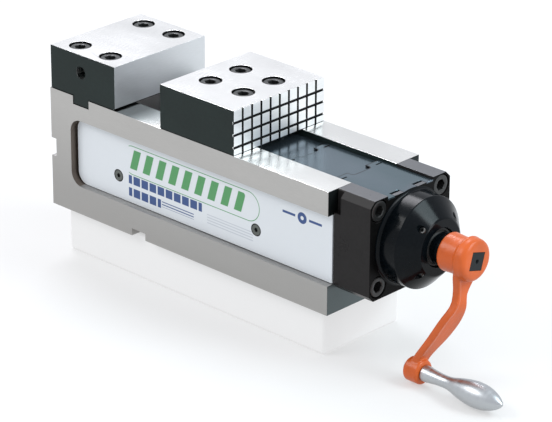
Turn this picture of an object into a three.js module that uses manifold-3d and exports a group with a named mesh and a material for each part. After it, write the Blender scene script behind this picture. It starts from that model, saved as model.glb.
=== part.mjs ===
// A machine vise with an enclosed screw: a hollow bed, a bolted fixed jaw, a sliding jaw on a T-shaped
// carriage, telescoping cover plates, a front housing with a pressure unit, and a push-on crank.
// Millimetres. The origin is the centre of the bed's bottom face, +X points to the crank and +Z is up.
import * as THREE from "three";
import { mergeVertices } from "three/addons/utils/BufferGeometryUtils.js";
import Module from "manifold-3d";

// ---- Driving dimensions ----------------------------------------------------------------------------
const GAP = 0.3; // clearance between pieces that touch

const BED_LENGTH = 300;
const BED_WIDTH = 100;
const BED_HEIGHT = 100;
const POCKET_BOTTOM = 24; // side pocket's lower ledge, where clamps bear
const POCKET_TOP = 80.3;
const POCKET_DEPTH = 8;
const POCKET_START = 22.7; // from the bed's rear end to the pocket
const POCKET_RADIUS = 11;
const KEY_SLOT_WIDTH = 15; // alignment slots in the bottom and in the rear end
const BOTTOM_SLOT_DEPTH = 6;
const BOTTOM_SLOT_FROM_REAR = 99;
const REAR_SLOT_DEPTH = 5.4;
const REAR_SLOT_HEIGHT = 49.7;

const GUIDE_WIDTH = 50; // slot between the rails at the top
const NECK_WIDTH = GUIDE_WIDTH - 3; // slot below the ledge that carries the cover plates
const SLIDE_WIDTH = GUIDE_WIDTH + 10; // hollow under the rails
const LEDGE_DEPTH = 6.2; // from the rail tops to the ledge
const RAIL_DEPTH = 20; // from the rail tops to their undersides
const CHANNEL_START = 60; // from the bed's rear end

const JAW_WIDTH = BED_WIDTH - 1;
const JAW_HEIGHT = 36.2;
const FIXED_JAW_LENGTH = 72.9;
const FIXED_JAW_SETBACK = 1; // from the bed's rear end
const TENON_WIDTH = 18;
const TENON_DEPTH = 7;
const TENON_SETBACK = 25.3; // from the fixed jaw's rear face
const WORK_STOP_HOLE_RADIUS = 5;
const WORK_STOP_HOLE_DEPTH = 16;
const WORK_STOP_HOLE_SETBACK = 34.6;
const WORK_STOP_HOLE_HEIGHT = 21.4; // above the bed's top
const RELIEF = 1.2; // dirt groove at the foot of the fixed jaw's clamping face
const MOVING_JAW_LENGTH = 79.1;
const GRID_PITCH = 10;
const GRID_DEPTH = 1.2;
const GRID_ROWS = 3;
const GRID_WIDTH = 2;
const GRID_COLUMNS = Math.floor((JAW_WIDTH - GRID_WIDTH) / GRID_PITCH);

const REST_OPENING = 50; // jaw travel from closed to the rest position
const END_CLEARANCE = 4.3; // between the nut's screws and the pressure unit at full opening

const SCREW_RADIUS = 5; // cap screws of the jaws and the housing
const SCREW_HEAD_RADIUS = 8;
const SCREW_HEAD_HEIGHT = 10;
const COUNTERBORE_RADIUS = 9;
const HEX_ACROSS_FLATS = 8;
const SMALL_SCREW_RADIUS = 2.5; // cap screws of the nut, and the side plates' flat-head screws
const SMALL_HEAD_RADIUS = 4.6;
const SMALL_HEAD_HEIGHT = 3;
const SMALL_HEX = 4;
const FLAT_HEAD_HEIGHT = 2.4;
const FIXED_SCREWS_X = [18.5, 52.8]; // from the fixed jaw's rear face
const FIXED_SCREWS_Y = JAW_WIDTH / 2 - 15.1;
const MOVING_SCREWS_X = [21.7, 56.7]; // from the moving jaw's clamping face
const MOVING_SCREWS_Y = NECK_WIDTH / 2 - 7;
const JAW_SCREW_GRIP = 20; // thread length below the jaws

const SIDE_PLATE_THICKNESS = 1.7;
const SIDE_PLATE_SCREW_PITCH = 150;
const SIDE_PLATE_SCREW_FROM_REAR = 71;
const SIDE_PLATE_SCREW_HEIGHT = 43.3;

const AXIS_HEIGHT = 60.5; // spindle axis above the bed's bottom
const SPINDLE_RADIUS = 9.8;
const SPINDLE_OVERHANG = 30; // spindle behind the carriage at rest
const NUT_RADIUS = SPINDLE_RADIUS + 5.2;
const NUT_FLANGE = {
  halfWidth: SLIDE_WIDTH / 2 - 4, halfHeight: NUT_RADIUS, thickness: 5, screwSpacing: SLIDE_WIDTH / 2 - 9.5,
};
const CARRIAGE_LENGTH = 72;
const CARRIAGE_SETBACK = 4; // from the moving jaw's clamping face
const COVER_SEAT = 12; // length of carriage that carries the rear cover plate
const KEY_WIDTH = 12;
const KEY_DEPTH = 4;
const KEY_LENGTH = GUIDE_WIDTH - 10;

const HOUSING_LENGTH = 36;
const HOUSING_WIDTH = BED_WIDTH - 12;
const HOUSING_BOTTOM = 20;
const HOUSING_CHAMFER = 4.7;
const HOUSING_BORE_DEPTH = 22;
const HOUSING_SCREW_Y = HOUSING_WIDTH / 2 - 10;
const HOUSING_SCREW_HEIGHTS = [HOUSING_BOTTOM + 10.2, BED_HEIGHT - 9.2];
const HOUSING_SCREW_GRIP = 22;

const UNIT_RADIUS = 20; // pressure unit, a barrel on the spindle axis
const UNIT_LENGTH = 52;
const UNIT_WALL = 4.5;
const HOUSING_BORE_RADIUS = UNIT_RADIUS + 0.4;
const CHANNEL_FLOOR = AXIS_HEIGHT - UNIT_RADIUS - 2.5;
const SQUARE = 13.6; // drive square across flats
const SHAFT_NECK_RADIUS = SQUARE * Math.SQRT1_2 + 0.4;
const SHAFT_RADIUS = SHAFT_NECK_RADIUS + 1.7;
const CAP_RADIUS = 36; // bearing cap: a round hub that tapers to a ring
const CAP_FOOT = 2.5;
const CAP_HUB_LENGTH = 17;
const CAP_LENGTH = 30;
const CAP_RING_RADIUS = 22.5;
const CAP_RECESS_RADIUS = SHAFT_RADIUS + 3.3;
const CAP_RECESS_DEPTH = 6;
const CAP_SPIGOT_RADIUS = SHAFT_RADIUS + 4.3;
const CAP_SPIGOT_LENGTH = 6;
const CAP_SET_SCREW_ANGLES = [43, 133, 223, 313]; // degrees round the axis from +Y
const COLLAR_LENGTH = 7.5;
const COLLAR_RADIUS = SHAFT_NECK_RADIUS + 2.7;

const COVER_THICKNESS = 1.1;
const COVER_STEP = GAP + COVER_THICKNESS; // height from one cover plate to the next
const COVER_RATIO = 0.45; // middle plate's travel as a share of the jaw's
const COVER_OVERLAP = 5;
const COVER_SHOW = 25.7; // rear plate seen in front of the jaw at rest
const COVER_NOTCH = { length: 6, width: 10, y: 12.4 };

const CRANK_ANGLE = -16.3; // degrees about +X from hanging straight down
const CRANK_THROW = 93;
const CRANK_HUB_START = 38.2; // from the front housing's face
const CRANK_HUB_LENGTH = 26.6;
const CRANK_HUB_RADIUS = 15;
const CRANK_HEAD_RADIUS = 16.5;
const CRANK_BOSS_RADIUS = 9.5;
const CRANK_BOSS_LENGTH = 14;
const CRANK_JOGGLE = 25; // boss front face behind the hub's front face
const ARM_THICKNESS = 5.4;
const ARM_WIDTH = { neck: 11.5, belly: 17.4, foot: 12 };
const ARM_LEAN = 2.2; // outward lean of the arm before its bend
const ARM_KNEE = 36; // from the axis to the bend in the arm
const GRIP_LENGTH = 74;
const GRIP_RADIUS = 9.7;
const PIN_RADIUS = 3.5;

// ---- Stations worked out from them -----------------------------------------------------------------
const REAR = -BED_LENGTH / 2;
const FRONT = BED_LENGTH / 2;
const SIDE = BED_WIDTH / 2;
const NECK_TOP = BED_HEIGHT - LEDGE_DEPTH;
const RAIL_UNDERSIDE = BED_HEIGHT - RAIL_DEPTH;
const JAW_TOP = BED_HEIGHT + JAW_HEIGHT;
const FIXED_JAW_REAR = REAR + FIXED_JAW_SETBACK;
const FIXED_JAW_FACE = FIXED_JAW_REAR + FIXED_JAW_LENGTH;
const MOVING_JAW_FACE = FIXED_JAW_FACE + GAP + REST_OPENING;
const MOVING_JAW_FRONT = MOVING_JAW_FACE + MOVING_JAW_LENGTH;
const CARRIAGE_REAR = MOVING_JAW_FACE + CARRIAGE_SETBACK;
const CARRIAGE_FRONT = CARRIAGE_REAR + CARRIAGE_LENGTH;
const NUT_REAR = CARRIAGE_REAR + CARRIAGE_LENGTH * 0.35;
const NUT_FRONT = CARRIAGE_FRONT + NUT_FLANGE.thickness + GAP;
const SPINDLE_REAR = CARRIAGE_REAR - SPINDLE_OVERHANG;
const POCKET_FLOOR = SIDE - POCKET_DEPTH;
const HOUSING_FACE = FRONT + HOUSING_LENGTH;
const SHOULDER = FRONT + HOUSING_BORE_DEPTH; // thrust shoulder inside the housing
const RACE = 2; // thickness of each thrust washer
const BEARING_LENGTH = 3 * RACE + 4 * GAP;
const UNIT_FRONT = SHOULDER - BEARING_LENGTH;
const UNIT_REAR = UNIT_FRONT - UNIT_LENGTH;
const TRAVEL_OUT = UNIT_REAR - NUT_FRONT - SMALL_HEAD_HEIGHT - END_CLEARANCE;
const CAP_FACE = HOUSING_FACE + CAP_LENGTH;
const HUB_REAR = HOUSING_FACE + CRANK_HUB_START;
const HUB_FRONT = HUB_REAR + CRANK_HUB_LENGTH;
const BOSS_FRONT = HUB_FRONT - CRANK_JOGGLE;
const BOSS_REAR = BOSS_FRONT - CRANK_BOSS_LENGTH;

const wasm = await Module();
wasm.setup();

// ---- Solid helpers ---------------------------------------------------------------------------------
/** Turns a closed three.js geometry into a solid that can be joined and cut. */
function solid(geometry) {
  const bare = geometry.clone();
  bare.deleteAttribute("normal");
  bare.deleteAttribute("uv");
  const merged = mergeVertices(bare, 1e-4);
  const mesh = new wasm.Mesh({
    numProp: 3,
    vertProperties: new Float32Array(merged.getAttribute("position").array),
    triVerts: new Uint32Array(merged.index.array),
  });
  return new wasm.Manifold(mesh);
}

/** Turns a solid back into a flat-shaded geometry. */
function geometryOf(body) {
  const mesh = body.getMesh();
  const geometry = new THREE.BufferGeometry();
  geometry.setAttribute("position", new THREE.BufferAttribute(mesh.vertProperties, 3));
  geometry.setIndex(new THREE.BufferAttribute(mesh.triVerts, 1));
  const flat = geometry.toNonIndexed();
  flat.computeVertexNormals();
  return flat;
}

const joined = (first, ...others) => others.reduce((body, other) => body.add(other), first);
const cut = (first, ...others) => others.reduce((body, other) => body.subtract(other), first);

/** A box between two corners, each an [x, y, z]. */
function box([x0, y0, z0], [x1, y1, z1]) {
  const geometry = new THREE.BoxGeometry(x1 - x0, y1 - y0, z1 - z0);
  return solid(geometry.translate((x0 + x1) / 2, (y0 + y1) / 2, (z0 + z1) / 2));
}

/** A box that is symmetric about the plane y = 0. */
const middleBox = (x0, x1, halfWidth, z0, z1) => box([x0, -halfWidth, z0], [x1, halfWidth, z1]);

/** A cylinder or prism that runs along "x", "y" or "z" from the point [x, y, z]. */
function rod(axis, radius, length, [x, y, z], sides = 16) {
  const geometry = new THREE.CylinderGeometry(radius, radius, length, sides);
  geometry.translate(0, length / 2, 0);
  if (axis === "x") geometry.rotateZ(-Math.PI / 2);
  if (axis === "z") geometry.rotateX(Math.PI / 2);
  return solid(geometry.translate(x, y, z));
}

/** A hexagonal prism given by its size across flats. */
const hexagon = (axis, acrossFlats, length, at) => rod(axis, acrossFlats / Math.sqrt(3), length, at, 6);

/** A body of revolution about the X axis at the given height, from [x, radius] points in order of x. */
function turned(profile, height = AXIS_HEIGHT, sides = 28) {
  const points = profile.map(([x, radius]) => new THREE.Vector2(radius, x));
  const geometry = new THREE.LatheGeometry(points, sides);
  return solid(geometry.rotateZ(-Math.PI / 2).translate(0, 0, height));
}

/** A ring about the spindle axis. */
const ring = (x0, x1, inner, outer) =>
  turned([[x0, inner], [x0, outer], [x1, outer], [x1, inner], [x0, inner]]);

/** An outline of [u, v] points extruded along the third axis: "x" (u=y, v=z) or "y" (u=x, v=z). */
function extruded(outline, axis, from, to) {
  const shape = outline instanceof THREE.Shape
    ? outline
    : new THREE.Shape(outline.map(([u, v]) => new THREE.Vector2(u, v)));
  const geometry = new THREE.ExtrudeGeometry(shape, {
    depth: to - from, bevelEnabled: false, curveSegments: 8,
  });
  if (axis === "x") geometry.rotateX(Math.PI / 2).rotateZ(Math.PI / 2).translate(from, 0, 0);
  if (axis === "y") geometry.rotateX(Math.PI / 2).translate(0, to, 0);
  return solid(geometry);
}

/** Points of a smooth curve through a few [u, v] points. */
const smooth = (points) =>
  new THREE.SplineCurve(points.map(([u, v]) => new THREE.Vector2(u, v))).getPoints(3 * points.length);

/** A rectangle in X and Z with a radius on its two rear corners. */
function pocketShape(x0, x1, z0, z1, radius) {
  const shape = new THREE.Shape();
  shape.moveTo(x1, z0);
  shape.lineTo(x1, z1);
  shape.lineTo(x0 + radius, z1);
  shape.absarc(x0 + radius, z1 - radius, radius, Math.PI / 2, Math.PI, false);
  shape.absarc(x0 + radius, z0 + radius, radius, Math.PI, 1.5 * Math.PI, false);
  return shape;
}

/** A cap screw with a hex socket: direction is +1 or -1 along the axis, from the shank to the head. */
function capScrew(axis, seat, direction, sizes) {
  const { radius, headRadius, headHeight, hex, grip } = sizes;
  const place = (start) => seat.map((value, i) => value + ("xyz"[i] === axis ? start : 0));
  const along = (from, length) => place(direction > 0 ? from : -from - length);
  const head = rod(axis, headRadius, headHeight, along(0, headHeight));
  const shank = rod(axis, radius, grip + 1, along(-grip, grip + 1), 12);
  const depth = headHeight * 0.55;
  return cut(joined(head, shank), hexagon(axis, hex, depth + 1, along(headHeight - depth, depth + 1)));
}

const BIG_SCREW = {
  radius: SCREW_RADIUS, headRadius: SCREW_HEAD_RADIUS, headHeight: SCREW_HEAD_HEIGHT,
  hex: HEX_ACROSS_FLATS,
};
const SMALL_SCREW = {
  radius: SMALL_SCREW_RADIUS, headRadius: SMALL_HEAD_RADIUS, headHeight: SMALL_HEAD_HEIGHT,
  hex: SMALL_HEX,
};

// ---- The bed and what is bolted to it --------------------------------------------------------------
const housingScrewPlaces = [];
for (const y of [-HOUSING_SCREW_Y, HOUSING_SCREW_Y])
  for (const z of HOUSING_SCREW_HEIGHTS) housingScrewPlaces.push([y, z]);

const fixedScrewPlaces = [];
for (const x of FIXED_SCREWS_X)
  for (const y of [-FIXED_SCREWS_Y, FIXED_SCREWS_Y]) fixedScrewPlaces.push([FIXED_JAW_REAR + x, y]);

const movingScrewPlaces = [];
for (const x of MOVING_SCREWS_X)
  for (const y of [-MOVING_SCREWS_Y, MOVING_SCREWS_Y]) movingScrewPlaces.push([MOVING_JAW_FACE + x, y]);

const plateScrewPlaces = [0, 1].map(
  (i) => REAR + SIDE_PLATE_SCREW_FROM_REAR + i * SIDE_PLATE_SCREW_PITCH);

const JAW_SCREW_SEAT = JAW_TOP - SCREW_HEAD_HEIGHT - 1;
const TAPPED = SCREW_RADIUS + GAP;
const SMALL_TAPPED = SMALL_SCREW_RADIUS + GAP;
const PLATE_FACE = POCKET_FLOOR + GAP + SIDE_PLATE_THICKNESS;
const PLATE_SCREW_GRIP = 9;

function bed() {
  const start = REAR + CHANNEL_START;
  const end = FRONT + 1;
  const channel = joined(
    middleBox(start, end, GUIDE_WIDTH / 2, NECK_TOP, BED_HEIGHT + 1),
    middleBox(start, end, NECK_WIDTH / 2, RAIL_UNDERSIDE - 1, NECK_TOP + 1),
    middleBox(start, end, SLIDE_WIDTH / 2, CHANNEL_FLOOR, RAIL_UNDERSIDE));
  const pocket = pocketShape(REAR + POCKET_START, end, POCKET_BOTTOM, POCKET_TOP, POCKET_RADIUS);
  const pockets = joined(
    extruded(pocket, "y", POCKET_FLOOR, SIDE + 1),
    extruded(pocket, "y", -SIDE - 1, -POCKET_FLOOR));
  const bottomSlot = middleBox(
    REAR + BOTTOM_SLOT_FROM_REAR - KEY_SLOT_WIDTH / 2, REAR + BOTTOM_SLOT_FROM_REAR + KEY_SLOT_WIDTH / 2,
    SIDE + 1, -1, BOTTOM_SLOT_DEPTH);
  const rearSlot = middleBox(REAR - 1, REAR + REAR_SLOT_DEPTH, SIDE + 1,
    REAR_SLOT_HEIGHT - KEY_SLOT_WIDTH / 2, REAR_SLOT_HEIGHT + KEY_SLOT_WIDTH / 2);
  const tenonRear = FIXED_JAW_REAR + TENON_SETBACK;
  const tenonSlot = middleBox(tenonRear, tenonRear + TENON_WIDTH, SIDE + 1,
    BED_HEIGHT - TENON_DEPTH, BED_HEIGHT + 1);
  const jawHoles = fixedScrewPlaces.map(([x, y]) =>
    rod("z", TAPPED, JAW_SCREW_GRIP + 3, [x, y, BED_HEIGHT - JAW_SCREW_GRIP - 2]));
  const housingHoles = housingScrewPlaces.map(([y, z]) =>
    rod("x", TAPPED, HOUSING_SCREW_GRIP + 2, [FRONT - HOUSING_SCREW_GRIP - 1, y, z]));
  const plateHoles = plateScrewPlaces.flatMap((x) => [flatScrew(x, -1, GAP), flatScrew(x, 1, GAP)]);
  return cut(box([REAR, -SIDE, 0], [FRONT, SIDE, BED_HEIGHT]),
    channel, pockets, bottomSlot, rearSlot, tenonSlot, ...jawHoles, ...housingHoles, ...plateHoles);
}

function jawHolesFor(places) {
  return places.flatMap(([x, y]) => [
    rod("z", TAPPED, JAW_HEIGHT + 2, [x, y, BED_HEIGHT - 1]),
    rod("z", COUNTERBORE_RADIUS, JAW_HEIGHT, [x, y, JAW_SCREW_SEAT - GAP])]);
}

/** A jaw's cap screw, with its thread reaching a given depth below the jaw. */
const jawScrew = ([x, y], reach) =>
  capScrew("z", [x, y, JAW_SCREW_SEAT], 1, { ...BIG_SCREW, grip: JAW_SCREW_SEAT - BED_HEIGHT + reach });

function fixedJaw() {
  const tenonRear = FIXED_JAW_REAR + TENON_SETBACK;
  const block = joined(
    middleBox(FIXED_JAW_REAR, FIXED_JAW_FACE, JAW_WIDTH / 2, BED_HEIGHT + GAP, JAW_TOP),
    middleBox(tenonRear + GAP, tenonRear + TENON_WIDTH - GAP, JAW_WIDTH / 2,
      BED_HEIGHT - TENON_DEPTH + GAP, BED_HEIGHT + 1));
  const relief = middleBox(FIXED_JAW_FACE - RELIEF, FIXED_JAW_FACE + 1, JAW_WIDTH, BED_HEIGHT - 1,
    BED_HEIGHT + GAP + RELIEF);
  const hole = rod("y", WORK_STOP_HOLE_RADIUS, WORK_STOP_HOLE_DEPTH + 1,
    [FIXED_JAW_REAR + WORK_STOP_HOLE_SETBACK, -JAW_WIDTH / 2 - 1, BED_HEIGHT + WORK_STOP_HOLE_HEIGHT]);
  return cut(block, relief, hole, ...jawHolesFor(fixedScrewPlaces));
}

function sidePlate(side) {
  const outline = pocketShape(REAR + POCKET_START + 1.8, FRONT - 1, POCKET_BOTTOM + GAP, POCKET_TOP - GAP,
    POCKET_RADIUS - 1);
  const inner = POCKET_FLOOR + GAP;
  const plate = side < 0
    ? extruded(outline, "y", -PLATE_FACE, -inner)
    : extruded(outline, "y", inner, PLATE_FACE);
  return cut(plate, ...plateScrewPlaces.map((x) => flatScrew(x, side, GAP)));
}

/** A flat-head screw flush with the side plate, or the countersunk hole for one when room is its gap. */
function flatScrew(x, side, room) {
  const head = new THREE.CylinderGeometry(SMALL_HEAD_RADIUS + room, SMALL_SCREW_RADIUS + room,
    FLAT_HEAD_HEIGHT, 20).translate(0, PLATE_FACE - FLAT_HEAD_HEIGHT / 2, 0);
  const shank = new THREE.CylinderGeometry(SMALL_SCREW_RADIUS + room, SMALL_SCREW_RADIUS + room,
    PLATE_SCREW_GRIP, 20).translate(0, PLATE_FACE - FLAT_HEAD_HEIGHT - PLATE_SCREW_GRIP / 2 + GAP, 0);
  const whole = joined(solid(head), solid(shank));
  return whole.rotate([side < 0 ? 180 : 0, 0, 0]).translate([x, 0, SIDE_PLATE_SCREW_HEIGHT]);
}

function sidePlateScrew(x, side) {
  const start = side * PLATE_FACE - (side < 0 ? 1 : FLAT_HEAD_HEIGHT - 1);
  return cut(flatScrew(x, side, 0),
    hexagon("y", 3, FLAT_HEAD_HEIGHT, [x, start, SIDE_PLATE_SCREW_HEIGHT]));
}

// ---- The front housing, its bearing cap and the cover plates ---------------------------------------
const COVER_LIP = 3.5; // front lip of the housing that carries the front cover plate
const HOUSING_RELIEF = { length: 6.5, y: HOUSING_WIDTH / 2 - 4, z: BED_HEIGHT - 18 };
const coverHeight = (level) => NECK_TOP + GAP + level * COVER_STEP;
const COVER_LIMIT = HOUSING_FACE - COVER_LIP - 0.5;
const MIDDLE_COVER_FRONT = COVER_LIMIT - COVER_RATIO * TRAVEL_OUT;
const FRONT_COVER_REAR = MIDDLE_COVER_FRONT - COVER_RATIO * REST_OPENING - COVER_OVERLAP;
const MIDDLE_COVER_REAR = MOVING_JAW_FRONT + COVER_SHOW;
const REAR_COVER_FRONT = MIDDLE_COVER_REAR + (1 - COVER_RATIO) * REST_OPENING + COVER_OVERLAP;

function frontHousing() {
  const half = HOUSING_WIDTH / 2;
  const c = HOUSING_CHAMFER;
  const outline = [
    [-half + c, HOUSING_BOTTOM], [half - c, HOUSING_BOTTOM], [half, HOUSING_BOTTOM + c],
    [half, BED_HEIGHT - c], [half - c, BED_HEIGHT], [-half + c, BED_HEIGHT],
    [-half, BED_HEIGHT - c], [-half, HOUSING_BOTTOM + c]];
  const rear = FRONT + GAP;
  const block = extruded(outline, "x", rear, HOUSING_FACE);
  const coverSlot = middleBox(rear - 1, HOUSING_FACE - COVER_LIP, GUIDE_WIDTH / 2, NECK_TOP, BED_HEIGHT + 1);
  const lipTop = middleBox(rear, HOUSING_FACE + 1, GUIDE_WIDTH / 2, coverHeight(2) - GAP, BED_HEIGHT + 1);
  const reliefs = [-1, 1].map((side) => {
    const { length, y, z } = HOUSING_RELIEF;
    const [near, far] = side < 0 ? [-half - 1, -y] : [y, half + 1];
    return box([rear - 1, near, z], [rear + length, far, BED_HEIGHT + 1]);
  });
  const bores = [
    rod("x", HOUSING_BORE_RADIUS, SHOULDER - rear + 1, [rear - 1, 0, AXIS_HEIGHT], 28),
    rod("x", SHAFT_RADIUS + GAP, HOUSING_LENGTH, [SHOULDER - 1, 0, AXIS_HEIGHT], 28),
    rod("x", CAP_SPIGOT_RADIUS + GAP, CAP_SPIGOT_LENGTH + GAP + 1,
      [HOUSING_FACE - CAP_SPIGOT_LENGTH - GAP, 0, AXIS_HEIGHT], 28)];
  const screwHoles = housingScrewPlaces.flatMap(([y, z]) => [
    rod("x", TAPPED, HOUSING_LENGTH + 2, [rear - 1, y, z]),
    rod("x", COUNTERBORE_RADIUS, SCREW_HEAD_HEIGHT + 2,
      [HOUSING_FACE - SCREW_HEAD_HEIGHT - 2 * GAP, y, z])]);
  const lugs = [-1, 1].map((side) => {
    const half = COVER_NOTCH.width / 2 - GAP;
    return box([HOUSING_FACE - COVER_LIP, side * COVER_NOTCH.y - half, NECK_TOP],
      [HOUSING_FACE, side * COVER_NOTCH.y + half, coverHeight(2) + COVER_THICKNESS]);
  });
  return joined(cut(block, coverSlot, lipTop, ...reliefs, ...bores, ...screwHoles), ...lugs);
}

function housingScrew(y, z) {
  const seat = [HOUSING_FACE - SCREW_HEAD_HEIGHT - GAP, y, z];
  const grip = HOUSING_SCREW_GRIP + HOUSING_LENGTH - SCREW_HEAD_HEIGHT - GAP;
  return capScrew("x", seat, 1, { ...BIG_SCREW, grip });
}

const SET_SCREW_X = HOUSING_FACE + CAP_HUB_LENGTH + 9.5;
const SET_SCREW_INNER = 18;
const SET_SCREW_OUTER = 25;

function bearingCap() {
  const foot = [];
  const steps = 4;
  for (let i = 0; i <= steps; i++) {
    const a = (i / steps) * Math.PI / 2;
    foot.push([HOUSING_FACE + GAP + CAP_FOOT * (1 - Math.cos(a)), CAP_RADIUS + CAP_FOOT * (1 - Math.sin(a))]);
  }
  const bore = SHAFT_RADIUS + GAP;
  const spigotRear = HOUSING_FACE - CAP_SPIGOT_LENGTH;
  const recess = CAP_FACE - CAP_RECESS_DEPTH;
  const body = turned([
    [spigotRear, bore], [spigotRear, CAP_SPIGOT_RADIUS], [HOUSING_FACE + GAP, CAP_SPIGOT_RADIUS],
    ...foot,
    [HOUSING_FACE + CAP_HUB_LENGTH, CAP_RADIUS], [CAP_FACE, CAP_RING_RADIUS],
    [CAP_FACE, CAP_RECESS_RADIUS], [recess, CAP_RECESS_RADIUS], [recess, bore], [spigotRear, bore],
  ], AXIS_HEIGHT, 40);
  const holes = CAP_SET_SCREW_ANGLES.map((angle) => {
    const hole = rod("y", SMALL_TAPPED, CAP_RADIUS, [SET_SCREW_X, SET_SCREW_INNER - 1, 0], 12);
    return hole.rotate([angle, 0, 0]).translate([0, 0, AXIS_HEIGHT]);
  });
  return cut(body, ...holes);
}

function capSetScrew(angle) {
  const length = SET_SCREW_OUTER - SET_SCREW_INNER;
  const body = cut(
    rod("y", SMALL_SCREW_RADIUS, length, [SET_SCREW_X, SET_SCREW_INNER, 0], 12),
    hexagon("y", SMALL_SCREW_RADIUS, 3, [SET_SCREW_X, SET_SCREW_OUTER - 2, 0]));
  return body.rotate([angle, 0, 0]).translate([0, 0, AXIS_HEIGHT]);
}

const shaftSeal = () => ring(CAP_FACE - CAP_RECESS_DEPTH + GAP, CAP_FACE - 2, SHAFT_NECK_RADIUS + GAP,
  CAP_RECESS_RADIUS - GAP);

/** One of the three thrust washers between the pressure unit and the housing, counted from the rear. */
function thrustWasher(i) {
  const x = UNIT_FRONT + GAP + i * (RACE + GAP);
  return ring(x, x + RACE, SHAFT_RADIUS + GAP, HOUSING_BORE_RADIUS - 2 * GAP);
}

function coverPlate(x0, x1, level) {
  const bottom = coverHeight(level);
  return middleBox(x0, x1, GUIDE_WIDTH / 2 - GAP, bottom, bottom + COVER_THICKNESS);
}

function frontCover() {
  const notches = [-1, 1].map((side) => {
    const y = side * COVER_NOTCH.y;
    return box([HOUSING_FACE - COVER_NOTCH.length, y - COVER_NOTCH.width / 2, NECK_TOP],
      [HOUSING_FACE + 1, y + COVER_NOTCH.width / 2, BED_HEIGHT]);
  });
  return cut(coverPlate(FRONT_COVER_REAR, HOUSING_FACE, 2), ...notches);
}

// ---- The sliding jaw and its carriage --------------------------------------------------------------
const CARRIAGE_LIFT = 3; // from the channel floor to the carriage
const COVER_SCREW = { radius: 1.8, headRadius: 3.4, headHeight: 1.5, hex: 2, grip: 8 };
const coverScrewPlaces = [-12, 12].map((y) => [CARRIAGE_FRONT - COVER_SEAT * 0.62, y]);
const KEY_CENTRE = MOVING_JAW_FACE + (MOVING_SCREWS_X[0] + MOVING_SCREWS_X[1]) / 2;

function movingJaw() {
  const block = middleBox(MOVING_JAW_FACE, MOVING_JAW_FRONT, JAW_WIDTH / 2, BED_HEIGHT + GAP, JAW_TOP);
  const keyway = middleBox(KEY_CENTRE - KEY_WIDTH / 2, KEY_CENTRE + KEY_WIDTH / 2, KEY_LENGTH / 2,
    BED_HEIGHT - 1, BED_HEIGHT + KEY_DEPTH);
  const grooves = [];
  const back = MOVING_JAW_FRONT - GRID_DEPTH;
  for (let i = 0; i < GRID_COLUMNS; i++) {
    const y = (i - (GRID_COLUMNS - 1) / 2) * GRID_PITCH;
    grooves.push(box([back, y - GRID_WIDTH / 2, BED_HEIGHT], [MOVING_JAW_FRONT + 1, y + GRID_WIDTH / 2,
      JAW_TOP + 1]));
  }
  for (let i = 1; i <= GRID_ROWS; i++) {
    const z = JAW_TOP - i * GRID_PITCH;
    grooves.push(middleBox(back, MOVING_JAW_FRONT + 1, JAW_WIDTH, z - GRID_WIDTH / 2, z + GRID_WIDTH / 2));
  }
  return cut(block, keyway, ...grooves, ...jawHolesFor(movingScrewPlaces));
}

function carriage() {
  const seat = CARRIAGE_FRONT - COVER_SEAT;
  const block = joined(
    middleBox(CARRIAGE_REAR, CARRIAGE_FRONT, SLIDE_WIDTH / 2 - GAP, CHANNEL_FLOOR + CARRIAGE_LIFT,
      RAIL_UNDERSIDE - GAP),
    middleBox(CARRIAGE_REAR, CARRIAGE_FRONT, NECK_WIDTH / 2 - GAP, AXIS_HEIGHT, NECK_TOP),
    middleBox(CARRIAGE_REAR, seat, NECK_WIDTH / 2 - GAP, AXIS_HEIGHT, NECK_TOP + GAP),
    middleBox(CARRIAGE_REAR, seat, GUIDE_WIDTH / 2 - GAP, NECK_TOP + GAP, BED_HEIGHT));
  const nutBore = rod("x", NUT_RADIUS + GAP, BED_LENGTH, [NUT_REAR - GAP, 0, AXIS_HEIGHT], 28);
  const screwBore = rod("x", SPINDLE_RADIUS + 4 * GAP, BED_LENGTH, [CARRIAGE_REAR - 1, 0, AXIS_HEIGHT], 28);
  const keyway = middleBox(KEY_CENTRE - KEY_WIDTH / 2, KEY_CENTRE + KEY_WIDTH / 2, KEY_LENGTH / 2,
    BED_HEIGHT - KEY_DEPTH, BED_HEIGHT + 1);
  const jawHoles = movingScrewPlaces.map(([x, y]) =>
    rod("z", TAPPED, JAW_SCREW_GRIP, [x, y, BED_HEIGHT + 2 - JAW_SCREW_GRIP]));
  const nutHoles = [-1, 1].map((side) =>
    rod("x", SMALL_TAPPED, 16, [CARRIAGE_FRONT - 12, side * NUT_FLANGE.screwSpacing, AXIS_HEIGHT], 12));
  const coverHoles = coverScrewPlaces.map(([x, y]) =>
    rod("z", COVER_SCREW.radius + GAP, COVER_SCREW.grip + 4, [x, y, NECK_TOP - COVER_SCREW.grip], 12));
  return cut(block, nutBore, screwBore, keyway, ...jawHoles, ...nutHoles, ...coverHoles);
}

const jawKey = () => middleBox(KEY_CENTRE - KEY_WIDTH / 2 + GAP, KEY_CENTRE + KEY_WIDTH / 2 - GAP,
  KEY_LENGTH / 2 - GAP, BED_HEIGHT - KEY_DEPTH + GAP, BED_HEIGHT + KEY_DEPTH - GAP);

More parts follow.
